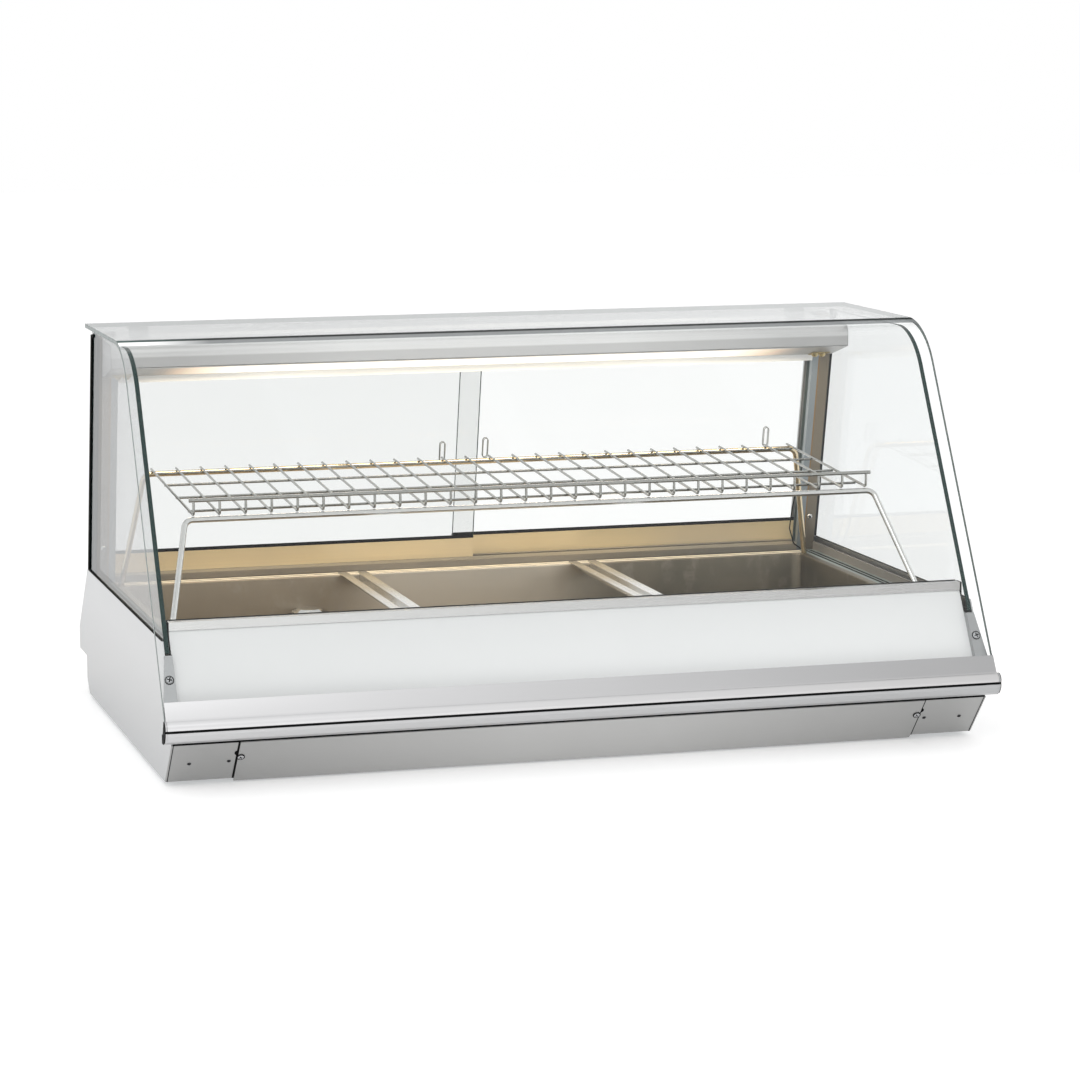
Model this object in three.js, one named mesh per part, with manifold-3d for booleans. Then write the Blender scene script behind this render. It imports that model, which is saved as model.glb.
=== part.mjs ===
// Countertop heated display case: a gastronorm well under a curved glass front, with rear sliding doors.
// Millimetres. X runs along the case, -Y is the customer's side, +Z is up.
// The origin is the middle of the footprint on the counter.
import * as THREE from "three";
import { mergeVertices } from "three/addons/utils/BufferGeometryUtils.js";
import Module from "manifold-3d";

const wasm = await Module();
wasm.setup();

// Driving dimensions.
const caseWidth = 1106; // over the side panels
const caseDepth = 778; // bumper nose to the back of the control box
const caseHeight = 548; // counter to the top of the curved glass
const deckHeight = 170; // rim of the well
const footHeight = 6;
const sheet = 1.5; // folded steel sheet
const sideSheet = 2; // side panels
const fit = 0.3; // gap between pieces that touch
const cutOverrun = 5; // how far a cutting tool runs past what it cuts

// Curved front glass and the profile that it tilts in.
const glass = {
  thickness: 6, bendRadius: 110, overhang: 9.8, leanDegrees: 30.4, bendSteps: 14, rearSetback: 10,
};
const pivotHeight = 89;
const noseRadius = 9;
const glassFoot = { behindPivot: 5.5, abovePivot: 9 };
const hingeProfile = {
  lipThickness: 4.5, lipHeight: 22.5, backWall: 2.5, backHeight: 18, web: 3, bedding: 0.5,
  noseFromDegrees: 100, noseToDegrees: 205, seatDegrees: 25, noseSteps: 8,
};
const hingeRod = { radius: 2.5, play: 0.3, endMargin: 1, sides: 12, boreSides: 16 };
const bumper = {
  overhang: 12, cap: 3, clearance: 0.8, footAbovePlinth: 4.5, chamferStart: 14.4, chamfer: 4.5, lip: 4.5,
  cradleFromDegrees: 213, cradleToDegrees: 285, cradleSteps: 7,
  capFromDegrees: 200, capToDegrees: 80, capSteps: 8,
};

// Side panes and side panels.
const sidePane = { thickness: 6, inset: 11, seatAboveDeck: 3, cornerSteps: 10, rearSetback: 0.5 };
const sidePanel = { aboveDeck: 17, shoulderAbovePivot: 3 }; // below the shoulder the front edge is upright

// Plinth, base and control box.
const plinth = { belowPivot: 26, setback: 52, cornerLength: 88.5, lap: 9.5, accessDrop: 4 };
const basePan = { rearGap: 0.7, rearUpstand: 14, topReturn: 25 };
const controlBox = {
  overhang: 64, underside: 58, rearHeight: 32, chamfer: 20, frontReturn: 20, lowerFlange: 24,
};

// Rear wall: it leans forward, and the doors, posts and rails are laid out in its own plane.
const rearLeanDegrees = 12.2;
const rearLine = { beforeBack: 89, footBelowDeck: 2 };
const rearFrame = { front: 20, back: 16, postWidth: 27.4, postChannelDepth: 6 };
const track = { floor: 3, height: 15.5, slotPlay: 0.5 };
const header = { height: 65, wall: 2, doorChannel: 37, ribHeight: 22, rib: 1, belowGlass: 12 };
const door = {
  glass: 4, rail: 9, gapBetween: 2, front: 9, railHeight: 29, tongue: 4, slotDepth: 8,
  overlap: 14.5, headroom: 4, edgeInset: 5,
};

// Well, ledges and pan bars. The middle opening between the bars holds a gastronorm 1/1 pan's body.
const ledgeWidth = 43;
const well = {
  behindTrim: 16, rearMargin: 142, floorBelowDeck: 74, cornerRadius: 14, cornerSteps: 3,
  sideRim: 9.7, frontLap: 3,
};
const ledge = {
  thickness: 8, lipDrop: 1.8, upstand: 2.5, upstandHeight: 12, groove: 2, grooveCount: 2, frontGap: 3,
};
const panOpening = 306;
const lampCount = 3;
const panBar = { width: 42, strip: 14, channelDepth: 10, endOverlap: 12, channelClearance: 1 };

// Front panel, its trim and the corner brackets.
const frontPanel = { depthBehindGlass: 17.9, thickness: 2, aboveDeck: 28, topReturn: 8 };
const trim = { height: 10.7, overhang: 2, lip: 8, depth: 18, wall: 2 };
const bracket = { thickness: 1.4, height: 62, aboveDeck: 1, flange: 17, topWidth: 10.6, footWidth: 19.1 };

// Screws.
const bracketScrew = { radius: 5.1, head: 2.2, belowTop: 28.6 };
const plinthScrew = { radius: 4.6, head: 2.6, inset: 3.5, height: 40 };
const screwSides = 12;

// Lamp canopy: depths from its front face, heights below the top of the case.
const canopy = {
  endMargin: 13, depth: 72.6, lip: 57, top: 25, topRear: 21, corner: 14, slopeDepth: 66, slopeEnd: 74.5,
  rearEnd: 76, cornerSteps: 5,
};
const lamp = {
  depth: 34, depthBelowTop: 52, tubeRadius: 5, capRadius: 7, capLength: 14, length: 118, windowMargin: 16,
  sides: 10,
};
const reflector = {
  front: 10, rear: 57, topFront: 17, topRear: 51, depthBelowTop: 36, sheet: 0.8, tab: 2, endMargin: 30,
};
const lampWindow = { front: 13, rear: 54 };

// Rests that carry the closed glass at its rear edge.
const glassRest = { width: 24, inset: 18, front: 18, back: 2 };

// Wire shelf: its rods' heights are shares of the height between the deck and the top of the case.
const shelf = {
  frontSetback: 274, frontHeightShare: 0.3783, rearSetback: 99, rearHeightShare: 0.4339, rodRadius: 4,
  endMargin: 68, bendRadius: 13, bendSteps: 4, frontFootMargin: 29, frontFootInset: 53,
  rearFootMargin: 38, rearFootInset: 7, rodSides: 10,
};
const grid = {
  wireRadius: 1.75, longRadius: 1.75, railRadius: 2.5, endMargin: 11, crossCount: 28, railHeight: 26,
  sink: 0.9, sides: 6, bend: 5, bendSteps: 2, rearOverhang: 5, railOverhang: 6,
};
const longWireShares = [0.055, 0.315, 0.59, 0.875]; // from the rear rod to the front rod

// Services inside the base.
const element = {
  radius: 4, runCount: 4, endMargin: 80, depthMargin: 90, bendShare: 0.33, sides: 8, bendSteps: 4,
};
const drain = {
  fromWellEnd: 262, beforeWellRear: 32, flangeRadius: 26, flange: 4, boreRadius: 10.4, boreDepth: 24,
  pipeRadius: 13, runZ: 36, bend: 18, bendSteps: 5, sides: 16,
};
const standpipe = {
  stemRadius: 10, stemDepth: 20, tubeRadius: 14, domeRadius: 26, domeHeight: 8, height: 35, sides: 20,
};
const domeSteps = [{ radiusShare: 1, dropShare: 0.75 }, { radiusShare: 0.7, dropShare: 0.2 }];
const tap = {
  radius: 11, length: 44, neckRadius: 6, leverLength: 40, leverWidth: 12, armWidth: 8, leverThickness: 4,
  neckHeight: 2,
};
const terminalBox = { length: 130, width: 70, height: 45, beforeWellRear: 47 };
const gland = { z: 36, radius: 11, nutRadius: 15, nut: 7, length: 22, bore: 5, sides: 6 };
const foot = { radius: 18, widthMargin: 73, endMargin: 139, sides: 16 };

// Operator's controls on the sloping panel.
const controlMargin = 223; // from the side of the case to the knob, the terminal box and the cord inlet
const knob = {
  radius: 22, height: 18, lift: 1, gripHeight: 10, grip: 6, shaftRadius: 3, shaftDepth: 12, play: 0.3,
  taperShare: 0.88, sides: 24,
};
const thermostat = { size: 44, depth: 28, bushRadius: 5 };
const rocker = {
  width: 20, height: 27, play: 0.5, depth: 12, proud: 2, tiltDegrees: 9, fromKnob: 110, pitch: 45,
};

// Derived places shared by several pieces.
const degrees = THREE.MathUtils.degToRad;
const halfCase = caseWidth / 2;
const insideX = halfCase - sideSheet;
const panelEndX = insideX - fit;
const frontY = -caseDepth / 2;
const backY = caseDepth / 2;
const pivot = [frontY + noseRadius, pivotHeight];
const plinthHeight = pivotHeight - plinth.belowPivot;
const shoulderHeight = pivotHeight + sidePanel.shoulderAbovePivot;
const sidePanelTop = deckHeight + sidePanel.aboveDeck;
const seatHeight = deckHeight + sidePane.seatAboveDeck;
const upstandTop = deckHeight + ledge.upstandHeight;
const wellFloor = deckHeight - well.floorBelowDeck;
const wellRear = backY - well.rearMargin;
const drainPlace = { x: drain.fromWellEnd - (halfCase - ledgeWidth), y: wellRear - drain.beforeWellRear };
const knobX = halfCase - controlMargin;
const bumperHalf = halfCase + bumper.overhang;
const glassHalf = halfCase + glass.overhang;
const paneInnerX = panelEndX - sidePane.thickness;
const postOuterX = paneInnerX - fit;
const postInnerX = postOuterX - rearFrame.postWidth;
const wellHalf = halfCase - ledgeWidth;
const panelHalf = paneInnerX - fit - ledge.upstand - fit;

// Glass plane: s runs up the straight front of the glass, n out of its outer face.
const glassLean = degrees(glass.leanDegrees);
const glassUp = [Math.sin(glassLean), Math.cos(glassLean)];
const glassOut = [-Math.cos(glassLean), Math.sin(glassLean)];
const glassStart = [pivot[0] + glassFoot.behindPivot, pivot[1] + glassFoot.abovePivot];

function onGlass(s, n) {
  return [0, 1].map((i) => glassStart[i] + s * glassUp[i] + n * glassOut[i]);
}

// Run up the glass to a height z in the plane that lies n in front of its outer face, and the point there.
function glassRunAt(z, n) {
  return (z - glassStart[1] - n * glassOut[1]) / glassUp[1];
}

function glassPlaneAt(z, n) {
  return onGlass(glassRunAt(z, n), n);
}

// Front panel: the outer edge of its top fold, and the trim that caps it in front of the well.
const panelTop = glassPlaneAt(deckHeight + frontPanel.aboveDeck, -frontPanel.depthBehindGlass);
const trimFace = panelTop[0] - trim.overhang;
const wellFront = trimFace + trim.depth + well.behindTrim;

const bendCentreZ = caseHeight - glass.bendRadius;
const bendTangent = glassPlaneAt(bendCentreZ + glass.bendRadius * Math.sin(glassLean), 0);
const bendCentre = [bendTangent[0] + glass.bendRadius * Math.cos(glassLean), bendCentreZ];

// Rear wall: w runs outwards through the wall, v up its lean.
const rearLean = degrees(rearLeanDegrees);
const rearOrigin = [backY - rearLine.beforeBack, deckHeight - rearLine.footBelowDeck];

function onRear(w, v) {
  return [
    rearOrigin[0] + w * Math.cos(rearLean) - v * Math.sin(rearLean),
    rearOrigin[1] + w * Math.sin(rearLean) + v * Math.cos(rearLean),
  ];
}

// Point at height z in the plane that lies w behind the rear line.
function rearPlaneAt(z, w) {
  return onRear(w, (z - rearOrigin[1] - w * Math.sin(rearLean)) / Math.cos(rearLean));
}

const glassUnderside = caseHeight - glass.thickness;
const rearTop = (glassUnderside - header.belowGlass - rearOrigin[1]) / Math.cos(rearLean);
const headerFoot = rearTop - header.height;
const controlTop = onRear(rearFrame.back, -fit);
const controlCorner = [backY, controlBox.underside + controlBox.rearHeight];

// Plane geometry of outlines.
function arc(centre, radius, fromDegrees, toDegrees, steps) {
  return Array.from({ length: steps + 1 }, (_, i) => {
    const angle = degrees(fromDegrees + ((toDegrees - fromDegrees) * i) / steps);
    return [centre[0] + radius * Math.cos(angle), centre[1] + radius * Math.sin(angle)];
  });
}

function lineAt(from, to, z) {
  const share = (z - from[1]) / (to[1] - from[1]);
  return [from[0] + share * (to[0] - from[0]), z];
}

// A line moved to its left by a distance, seen along from, to.
function beside(from, to, distance) {
  const length = Math.hypot(to[0] - from[0], to[1] - from[1]);
  const across = [(from[1] - to[1]) / length, (to[0] - from[0]) / length];
  return [from, to].map((point) => [point[0] + across[0] * distance, point[1] + across[1] * distance]);
}

// A folded sheet's outline: its line, and the same line moved to its left with mitred corners.
function folded(line, thickness) {
  const normals = line.slice(1).map((point, i) => {
    const length = Math.hypot(point[0] - line[i][0], point[1] - line[i][1]);
    return [-(point[1] - line[i][1]) / length, (point[0] - line[i][0]) / length];
  });
  const moved = line.map((point, i) => {
    const a = normals[Math.max(i - 1, 0)];
    const b = normals[Math.min(i, normals.length - 1)];
    const mitre = thickness / (1 + a[0] * b[0] + a[1] * b[1]);
    return [point[0] + (a[0] + b[0]) * mitre, point[1] + (a[1] + b[1]) * mitre];
  });
  return [...line, ...moved.reverse()];
}

function rectangle(a0, b0, a1, b1) {
  return [[a0, b0], [a1, b0], [a1, b1], [a0, b1]];
}

function shapeOf(outline, holes = []) {
  const shape = new THREE.Shape(outline.map((point) => new THREE.Vector2(...point)));
  holes.forEach((hole) => shape.holes.push(new THREE.Path(hole.map((point) => new THREE.Vector2(...point)))));
  return shape;
}

// Extrusions of an outline along one axis.
const axisX = new THREE.Vector3(1, 0, 0);
const axisY = new THREE.Vector3(0, 1, 0);
const axisZ = new THREE.Vector3(0, 0, 1);

function extruded(outline, depth, holes) {
  return new THREE.ExtrudeGeometry(shapeOf(outline, holes), { depth, bevelEnabled: false });
}

function alongX(outline, x0, x1, holes) {
  const turn = new THREE.Matrix4().makeBasis(axisY, axisZ, axisX).setPosition(x0, 0, 0);
  return extruded(outline, x1 - x0, holes).applyMatrix4(turn);
}

function alongY(outline, y0, y1, holes) {
  const turn = new THREE.Matrix4().makeBasis(axisX, axisZ, axisY.clone().negate()).setPosition(0, y1, 0);
  return extruded(outline, y1 - y0, holes).applyMatrix4(turn);
}

function alongZ(outline, z0, z1, holes) {
  return extruded(outline, z1 - z0, holes).translate(0, 0, z0);
}

function block(x0, x1, y0, y1, z0, z1) {
  const box = new THREE.BoxGeometry(x1 - x0, y1 - y0, z1 - z0);
  return box.translate((x0 + x1) / 2, (y0 + y1) / 2, (z0 + z1) / 2);
}

// A solid of revolution about Z; its profile holds [radius, height] points.
function turned(profile, sides) {
  const points = profile.map((point) => new THREE.Vector2(...point));
  return new THREE.LatheGeometry(points, sides).rotateX(Math.PI / 2);
}

function disc(radius, z0, z1, sides) {
  return turned([[0, z0], [radius, z0], [radius, z1], [0, z1]], sides);
}

// A path through given stations, so that a straight run takes one step.
class StationPath extends THREE.Curve {
  constructor(stations) {
    super();
    this.stations = stations;
  }

  getPoint(t, target = new THREE.Vector3()) {
    const place = t * (this.stations.length - 1);
    const index = Math.min(Math.floor(place), this.stations.length - 2);
    return target.lerpVectors(this.stations[index], this.stations[index + 1], place - index);
  }

  getPointAt(u, target) {
    return this.getPoint(u, target);
  }

  getTangentAt(u, target = new THREE.Vector3()) {
    const last = this.stations.length - 1;
    const index = Math.round(u * last);
    const before = this.stations[Math.max(index - 1, 0)];
    const here = this.stations[index];
    const after = this.stations[Math.min(index + 1, last)];
    const incoming = here.clone().sub(before).normalize();
    const outgoing = after.clone().sub(here).normalize();
    return target.copy(incoming).add(outgoing).normalize();
  }
}

// Stations of a bent rod: its corners rounded to a radius.
function bentRod(corners, radius, steps) {
  const stations = [corners[0].clone()];
  for (let i = 1; i < corners.length - 1; i++) {
    const back = corners[i - 1].clone().sub(corners[i]).normalize();
    const ahead = corners[i + 1].clone().sub(corners[i]).normalize();
    const half = back.angleTo(ahead) / 2;
    const reach = radius / Math.tan(half);
    const start = corners[i].clone().addScaledVector(back, reach);
    const end = corners[i].clone().addScaledVector(ahead, reach);
    const inwards = back.clone().add(ahead).normalize();
    const centre = corners[i].clone().addScaledVector(inwards, radius / Math.sin(half));
    for (let j = 0; j <= steps; j++) {
      const spoke = start.clone().lerp(end, j / steps).sub(centre).normalize();
      stations.push(centre.clone().addScaledVector(spoke, radius));
    }
  }
  stations.push(corners[corners.length - 1].clone());
  return stations;
}

function rod(stations, radius, sides) {
  const ring = Array.from({ length: sides }, (_, i) => {
    const angle = (2 * Math.PI * (i + 0.5)) / sides;
    return [radius * Math.cos(angle), radius * Math.sin(angle)];
  });
  const options = { steps: stations.length - 1, extrudePath: new StationPath(stations), bevelEnabled: false };
  return new THREE.ExtrudeGeometry(shapeOf(ring), options);
}

// Joins and cuts.
function solidOf(geometry) {
  const bare = geometry.index ? geometry.toNonIndexed() : geometry.clone();
  bare.deleteAttribute("normal");
  bare.deleteAttribute("uv");
  const merged = mergeVertices(bare);
  return new wasm.Manifold(
    new wasm.Mesh({
      numProp: 3,
      vertProperties: merged.getAttribute("position").array,
      triVerts: new Uint32Array(merged.index.array),
    }),
  );
}

function geometryOf(solid) {
  const mesh = solid.getMesh();
  const geometry = new THREE.BufferGeometry();
  geometry.setAttribute("position", new THREE.BufferAttribute(mesh.vertProperties, 3));
  geometry.setIndex(new THREE.BufferAttribute(mesh.triVerts, 1));
  return geometry;
}

function joined(first, ...others) {
  return geometryOf(others.reduce((sum, other) => sum.add(solidOf(other)), solidOf(first)));
}

function cutBy(body, ...tools) {
  return geometryOf(tools.reduce((rest, tool) => rest.subtract(solidOf(tool)), solidOf(body)));
}

// Finishes.
function finish(color, roughness, metalness, extra = {}) {
  return new THREE.MeshStandardMaterial({ color, roughness, metalness, flatShading: true, ...extra });
}

const clearGlass = { transparent: true, opacity: 0.3 };
const finishes = {
  sideSteel: () => finish(0xdcdcdc, 0.35, 0.6),
  whitePaint: () => finish(0xeeeeee, 0.3, 0),
  brushedSteel: () => finish(0xb8b6b0, 0.35, 1),
  wellSteel: () => finish(0x9c9384, 0.4, 1),
  aluminium: () => finish(0xc8c8c6, 0.3, 1),
  glass: () => finish(0xdfe9e6, 0.05, 0, clearGlass),
  lampGlass: () => finish(0xfff1d6, 0.1, 0, clearGlass),
  chrome: () => finish(0xd8d8d8, 0.12, 1),
  rubber: () => finish(0x1c1c1c, 0.8, 0),
  plastic: () => finish(0x202022, 0.45, 0),
  galvanised: () => finish(0xa4a8aa, 0.5, 0.9),
  brass: () => finish(0xb8964f, 0.3, 1),
  elementSteel: () => finish(0x6a6560, 0.5, 0.9),
};

function addPiece(group, name, geometry, material) {
  const mesh = new THREE.Mesh(geometry, material);
  mesh.name = name;
  group.add(mesh);
  return mesh;
}

// A piece on the right and its twin on the left; build takes the side, 1 or -1.
function addPair(group, name, build, makeMaterial) {
  addPiece(group, name + "_left", build(-1), makeMaterial());
  addPiece(group, name + "_right", build(1), makeMaterial());
}

// Extrusion along X between two distances from the middle, on one side.
function onSide(side, outline, near, far, holes) {
  return alongX(outline, Math.min(side * near, side * far), Math.max(side * near, side * far), holes);
}

// Frame of the glass plane: x across the case, y up the glass, z out of its outer face.
const glassMatrix = new THREE.Matrix4()
  .makeBasis(axisX, new THREE.Vector3(0, ...glassUp), new THREE.Vector3(0, ...glassOut))
  .setPosition(0, ...glassStart);

const displayCase = new THREE.Group();
displayCase.name = "heated_display_case";

// Plinth line: the outer face of the front corner plates.
const plinthTop = [glassPlaneAt(shoulderHeight, -sidePane.inset)[0], plinthHeight];
const plinthFoot = [plinthTop[0] + plinth.setback, footHeight];
const plinthBack = beside(plinthFoot, plinthTop, -(sheet + fit));
const kickY = backY - controlBox.overhang;

function addSidePanels(group) {
  const outline = [
    lineAt(...plinthBack, footHeight),
    [kickY - controlBox.chamfer, footHeight],
    [kickY, footHeight + controlBox.chamfer],
    [kickY, controlBox.underside],
    [backY, controlBox.underside],
    controlCorner,
    lineAt(controlCorner, controlTop, sidePanelTop),
    glassPlaneAt(sidePanelTop, -sidePane.inset),
    glassPlaneAt(shoulderHeight, -sidePane.inset),
    lineAt(...plinthBack, plinthHeight),
  ];
  addPair(group, "side_panel", (side) => onSide(side, outline, insideX, halfCase), finishes.sideSteel);
}

function addBase(group) {
  const shoulder = lineAt(...plinthBack, plinthHeight);
  const rear = kickY - controlBox.chamfer - sheet - basePan.rearGap;
  const line = [
    [shoulder[0] + basePan.topReturn, plinthHeight],
    shoulder,
    lineAt(...plinthBack, footHeight),
    [rear, footHeight],
    [rear, footHeight + basePan.rearUpstand],
  ];
  addPiece(group, "base_pan", alongX(folded(line, sheet), -panelEndX, panelEndX), finishes.galvanised());

  for (const [name, y] of [["foot_front", frontY + foot.endMargin], ["foot_rear", backY - foot.endMargin]]) {
    for (const [end, side] of [["_left", -1], ["_right", 1]]) {
      const pad = disc(foot.radius, 0, footHeight, foot.sides);
      const piece = addPiece(group, name + end, pad, finishes.rubber());
      piece.position.set(side * (halfCase - foot.widthMargin), y, 0);
    }
  }
}

function addPlinth(group) {
  const cornerOutline = folded([plinthTop, plinthFoot], sheet);
  const cornerInner = halfCase - plinth.cornerLength - plinth.lap;
  const corner = (side) => onSide(side, cornerOutline, cornerInner, halfCase);
  addPair(group, "plinth_corner", corner, finishes.brushedSteel);

  const accessHalf = halfCase - plinth.cornerLength;
  const accessFace = beside(plinthTop, plinthFoot, -(sheet + fit));
  const accessLine = [
    lineAt(...accessFace, plinthHeight),
    lineAt(...accessFace, footHeight - plinth.accessDrop),
  ];
  const access = alongX(folded(accessLine, sheet), -accessHalf, accessHalf);
  addPiece(group, "plinth_access_panel", access, finishes.brushedSteel());

  const screwPlace = lineAt(...accessFace, plinthScrew.height);
  const outwards = Math.atan2(plinthHeight - footHeight, plinth.setback);
  for (const [name, side] of [["plinth_screw_left", -1], ["plinth_screw_right", 1]]) {
    const head = disc(plinthScrew.radius, fit, fit + plinthScrew.head, screwSides);
    const piece = addPiece(group, name, head, finishes.chrome());
    piece.position.set(side * (accessHalf - plinthScrew.inset), ...screwPlace);
    piece.rotation.x = Math.PI - outwards;
  }
}

function circle(centre, radius, sides) {
  return arc(centre, radius, 0, 360, sides).slice(0, -1);
}

function addBumper(fixed, moving) {
  const innerCap = bumperHalf - bumper.cap;
  const front = hingeProfile.bedding + hingeProfile.lipThickness;
  const back = -(glass.thickness + hingeProfile.bedding);
  const cradle = noseRadius + bumper.clearance;
  const seatDrop = noseRadius * Math.sin(degrees(hingeProfile.seatDegrees));
  const nose = arc(
    pivot, noseRadius, hingeProfile.noseFromDegrees, hingeProfile.noseToDegrees, hingeProfile.noseSteps,
  );
  const profile = [
    onGlass(hingeProfile.lipHeight, front),
    onGlass(-fit, front),
    ...nose,
    [pivot[0] + noseRadius - bumper.clearance, pivot[1] - seatDrop],
    onGlass(-hingeProfile.web, back - hingeProfile.backWall),
    onGlass(hingeProfile.backHeight, back - hingeProfile.backWall),
    onGlass(hingeProfile.backHeight, back),
    onGlass(-fit, back),
    onGlass(-fit, hingeProfile.bedding),
    onGlass(hingeProfile.lipHeight, hingeProfile.bedding),
  ];
  const bore = circle(pivot, hingeRod.radius + hingeRod.play, hingeRod.boreSides);
  const hinge = alongX(profile, -(innerCap - fit), innerCap - fit, [bore]);
  addPiece(moving, "glass_hinge_profile", hinge, finishes.aluminium());

  const rear = plinthTop[0] - fit;
  const cradleFloor = pivot[1] - cradle;
  const railFoot = plinthHeight + bumper.footAbovePlinth;
  const lip = [
    [rear, railFoot],
    [frontY + bumper.chamferStart, railFoot],
    [frontY + bumper.chamfer, railFoot + bumper.chamfer],
    [frontY, cradleFloor + bumper.clearance],
    [frontY, cradleFloor + bumper.lip],
  ];
  const cradleArc = arc(
    pivot, cradle, bumper.cradleFromDegrees, bumper.cradleToDegrees, bumper.cradleSteps,
  );
  const rail = alongX([...lip, ...cradleArc, [rear, cradleFloor]], -innerCap - fit, innerCap + fit);
  const capOutline = [
    ...lip,
    ...arc(pivot, noseRadius, bumper.capFromDegrees, bumper.capToDegrees, bumper.capSteps),
    [pivot[0] + noseRadius, cradleFloor],
    [rear, cradleFloor],
  ];
  const rodHole = circle(pivot, hingeRod.radius, hingeRod.boreSides);
  const cap = (side) => onSide(side, capOutline, innerCap, bumperHalf, [rodHole]);
  addPiece(fixed, "bumper_rail", joined(rail, cap(-1), cap(1)), finishes.aluminium());

  const rodHalf = bumperHalf - hingeRod.endMargin;
  const rodOutline = circle([0, 0], hingeRod.radius - fit, hingeRod.sides);
  const pin = addPiece(fixed, "glass_hinge_rod", alongX(rodOutline, -rodHalf, rodHalf), finishes.chrome());
  pin.position.set(0, ...pivot);
}

function addFrontGlass(group) {
  const bend = arc(bendCentre, glass.bendRadius, 180 - glass.leanDegrees, 90, glass.bendSteps);
  const rearEdge = [rearPlaneAt(caseHeight, glass.rearSetback)[0], caseHeight];
  const line = [glassStart, ...bend, rearEdge];
  const pane = alongX(folded(line, -glass.thickness), -glassHalf, glassHalf);
  addPiece(group, "front_glass", pane, finishes.glass());
}

function addSidePanes(group) {
  const radius = glass.bendRadius - sidePane.inset;
  const foot = seatHeight + fit;
  const outline = [
    glassPlaneAt(foot, -sidePane.inset),
    ...arc(bendCentre, radius, 180 - glass.leanDegrees, 90, sidePane.cornerSteps),
    rearPlaneAt(caseHeight - sidePane.inset, -sidePane.rearSetback),
    rearPlaneAt(foot, -sidePane.rearSetback),
  ];
  addPair(group, "side_pane", (side) => onSide(side, outline, paneInnerX, panelEndX), finishes.glass);
}

// Corner brackets stand between the hinge profile and the side panels' front edges.
const bracketTop = deckHeight + bracket.aboveDeck;
const bracketDepth = glass.thickness + hingeProfile.bedding + hingeProfile.backWall + fit;
const flangeDepth = bracketDepth + bracket.thickness + bracket.flange;

function addFrontPanel(group) {
  const knee = glassPlaneAt(pivotHeight, -frontPanel.depthBehindGlass);
  const line = [
    [panelTop[0] + frontPanel.topReturn, panelTop[1]],
    panelTop,
    knee,
    [knee[0], plinthHeight + fit],
  ];
  const panel = alongX(folded(line, frontPanel.thickness), -panelHalf, panelHalf);
  addPiece(group, "front_panel", panel, finishes.whitePaint());

  const trimFoot = panelTop[1] + fit;
  const trimTop = trimFoot + trim.height;
  const outline = [
    [trimFace, trimFoot],
    [trimFace + trim.lip, trimFoot],
    [trimFace + trim.lip, trimTop - trim.wall],
    [trimFace + trim.depth - trim.wall, trimTop - trim.wall],
    [trimFace + trim.depth - trim.wall, deckHeight + fit],
    [trimFace + trim.depth, deckHeight + fit],
    [trimFace + trim.depth, trimTop],
    [trimFace, trimTop],
  ];
  addPiece(group, "front_panel_trim", alongX(outline, -panelHalf, panelHalf), finishes.aluminium());

  const bottom = bracketTop - bracket.height;
  const inner = panelHalf + fit;
  const plateOutline = (side) => [
    [side * inner, glassRunAt(bottom, -bracketDepth)],
    [side * (inner + bracket.footWidth), glassRunAt(bottom, -bracketDepth)],
    [side * (inner + bracket.topWidth), glassRunAt(bracketTop, -bracketDepth)],
    [side * inner, glassRunAt(bracketTop, -bracketDepth)],
  ];
  const plate = (side) => extruded(plateOutline(side), bracket.thickness)
    .translate(0, 0, -bracketDepth - bracket.thickness)
    .applyMatrix4(glassMatrix);
  const flange = [
    glassPlaneAt(bottom, -bracketDepth),
    glassPlaneAt(bracketTop, -bracketDepth),
    glassPlaneAt(bracketTop, -flangeDepth),
    glassPlaneAt(bottom, -flangeDepth),
  ];
  const build = (side) => joined(plate(side), onSide(side, flange, panelEndX - bracket.thickness, panelEndX));
  addPair(group, "front_bracket", build, finishes.brushedSteel);

  const share = bracketScrew.belowTop / bracket.height;
  const widthAtScrew = bracket.topWidth + share * (bracket.footWidth - bracket.topWidth);
  const place = glassPlaneAt(bracketTop - bracketScrew.belowTop, fit - bracketDepth);
  for (const [name, side] of [["bracket_screw_left", -1], ["bracket_screw_right", 1]]) {
    const head = disc(bracketScrew.radius, 0, bracketScrew.head, screwSides);
    const piece = addPiece(group, name, head, finishes.chrome());
    piece.position.set(side * (inner + widthAtScrew / 2), ...place);
    piece.rotation.x = Math.PI / 2 - glassLean;
  }
}

// Rounded rectangle in X and Y.
function roundedRectangle(x0, y0, x1, y1, radius, steps) {
  return [
    ...arc([x1 - radius, y0 + radius], radius, -90, 0, steps),
    ...arc([x1 - radius, y1 - radius], radius, 0, 90, steps),
    ...arc([x0 + radius, y1 - radius], radius, 90, 180, steps),
    ...arc([x0 + radius, y0 + radius], radius, 180, 270, steps),
  ];
}

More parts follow.
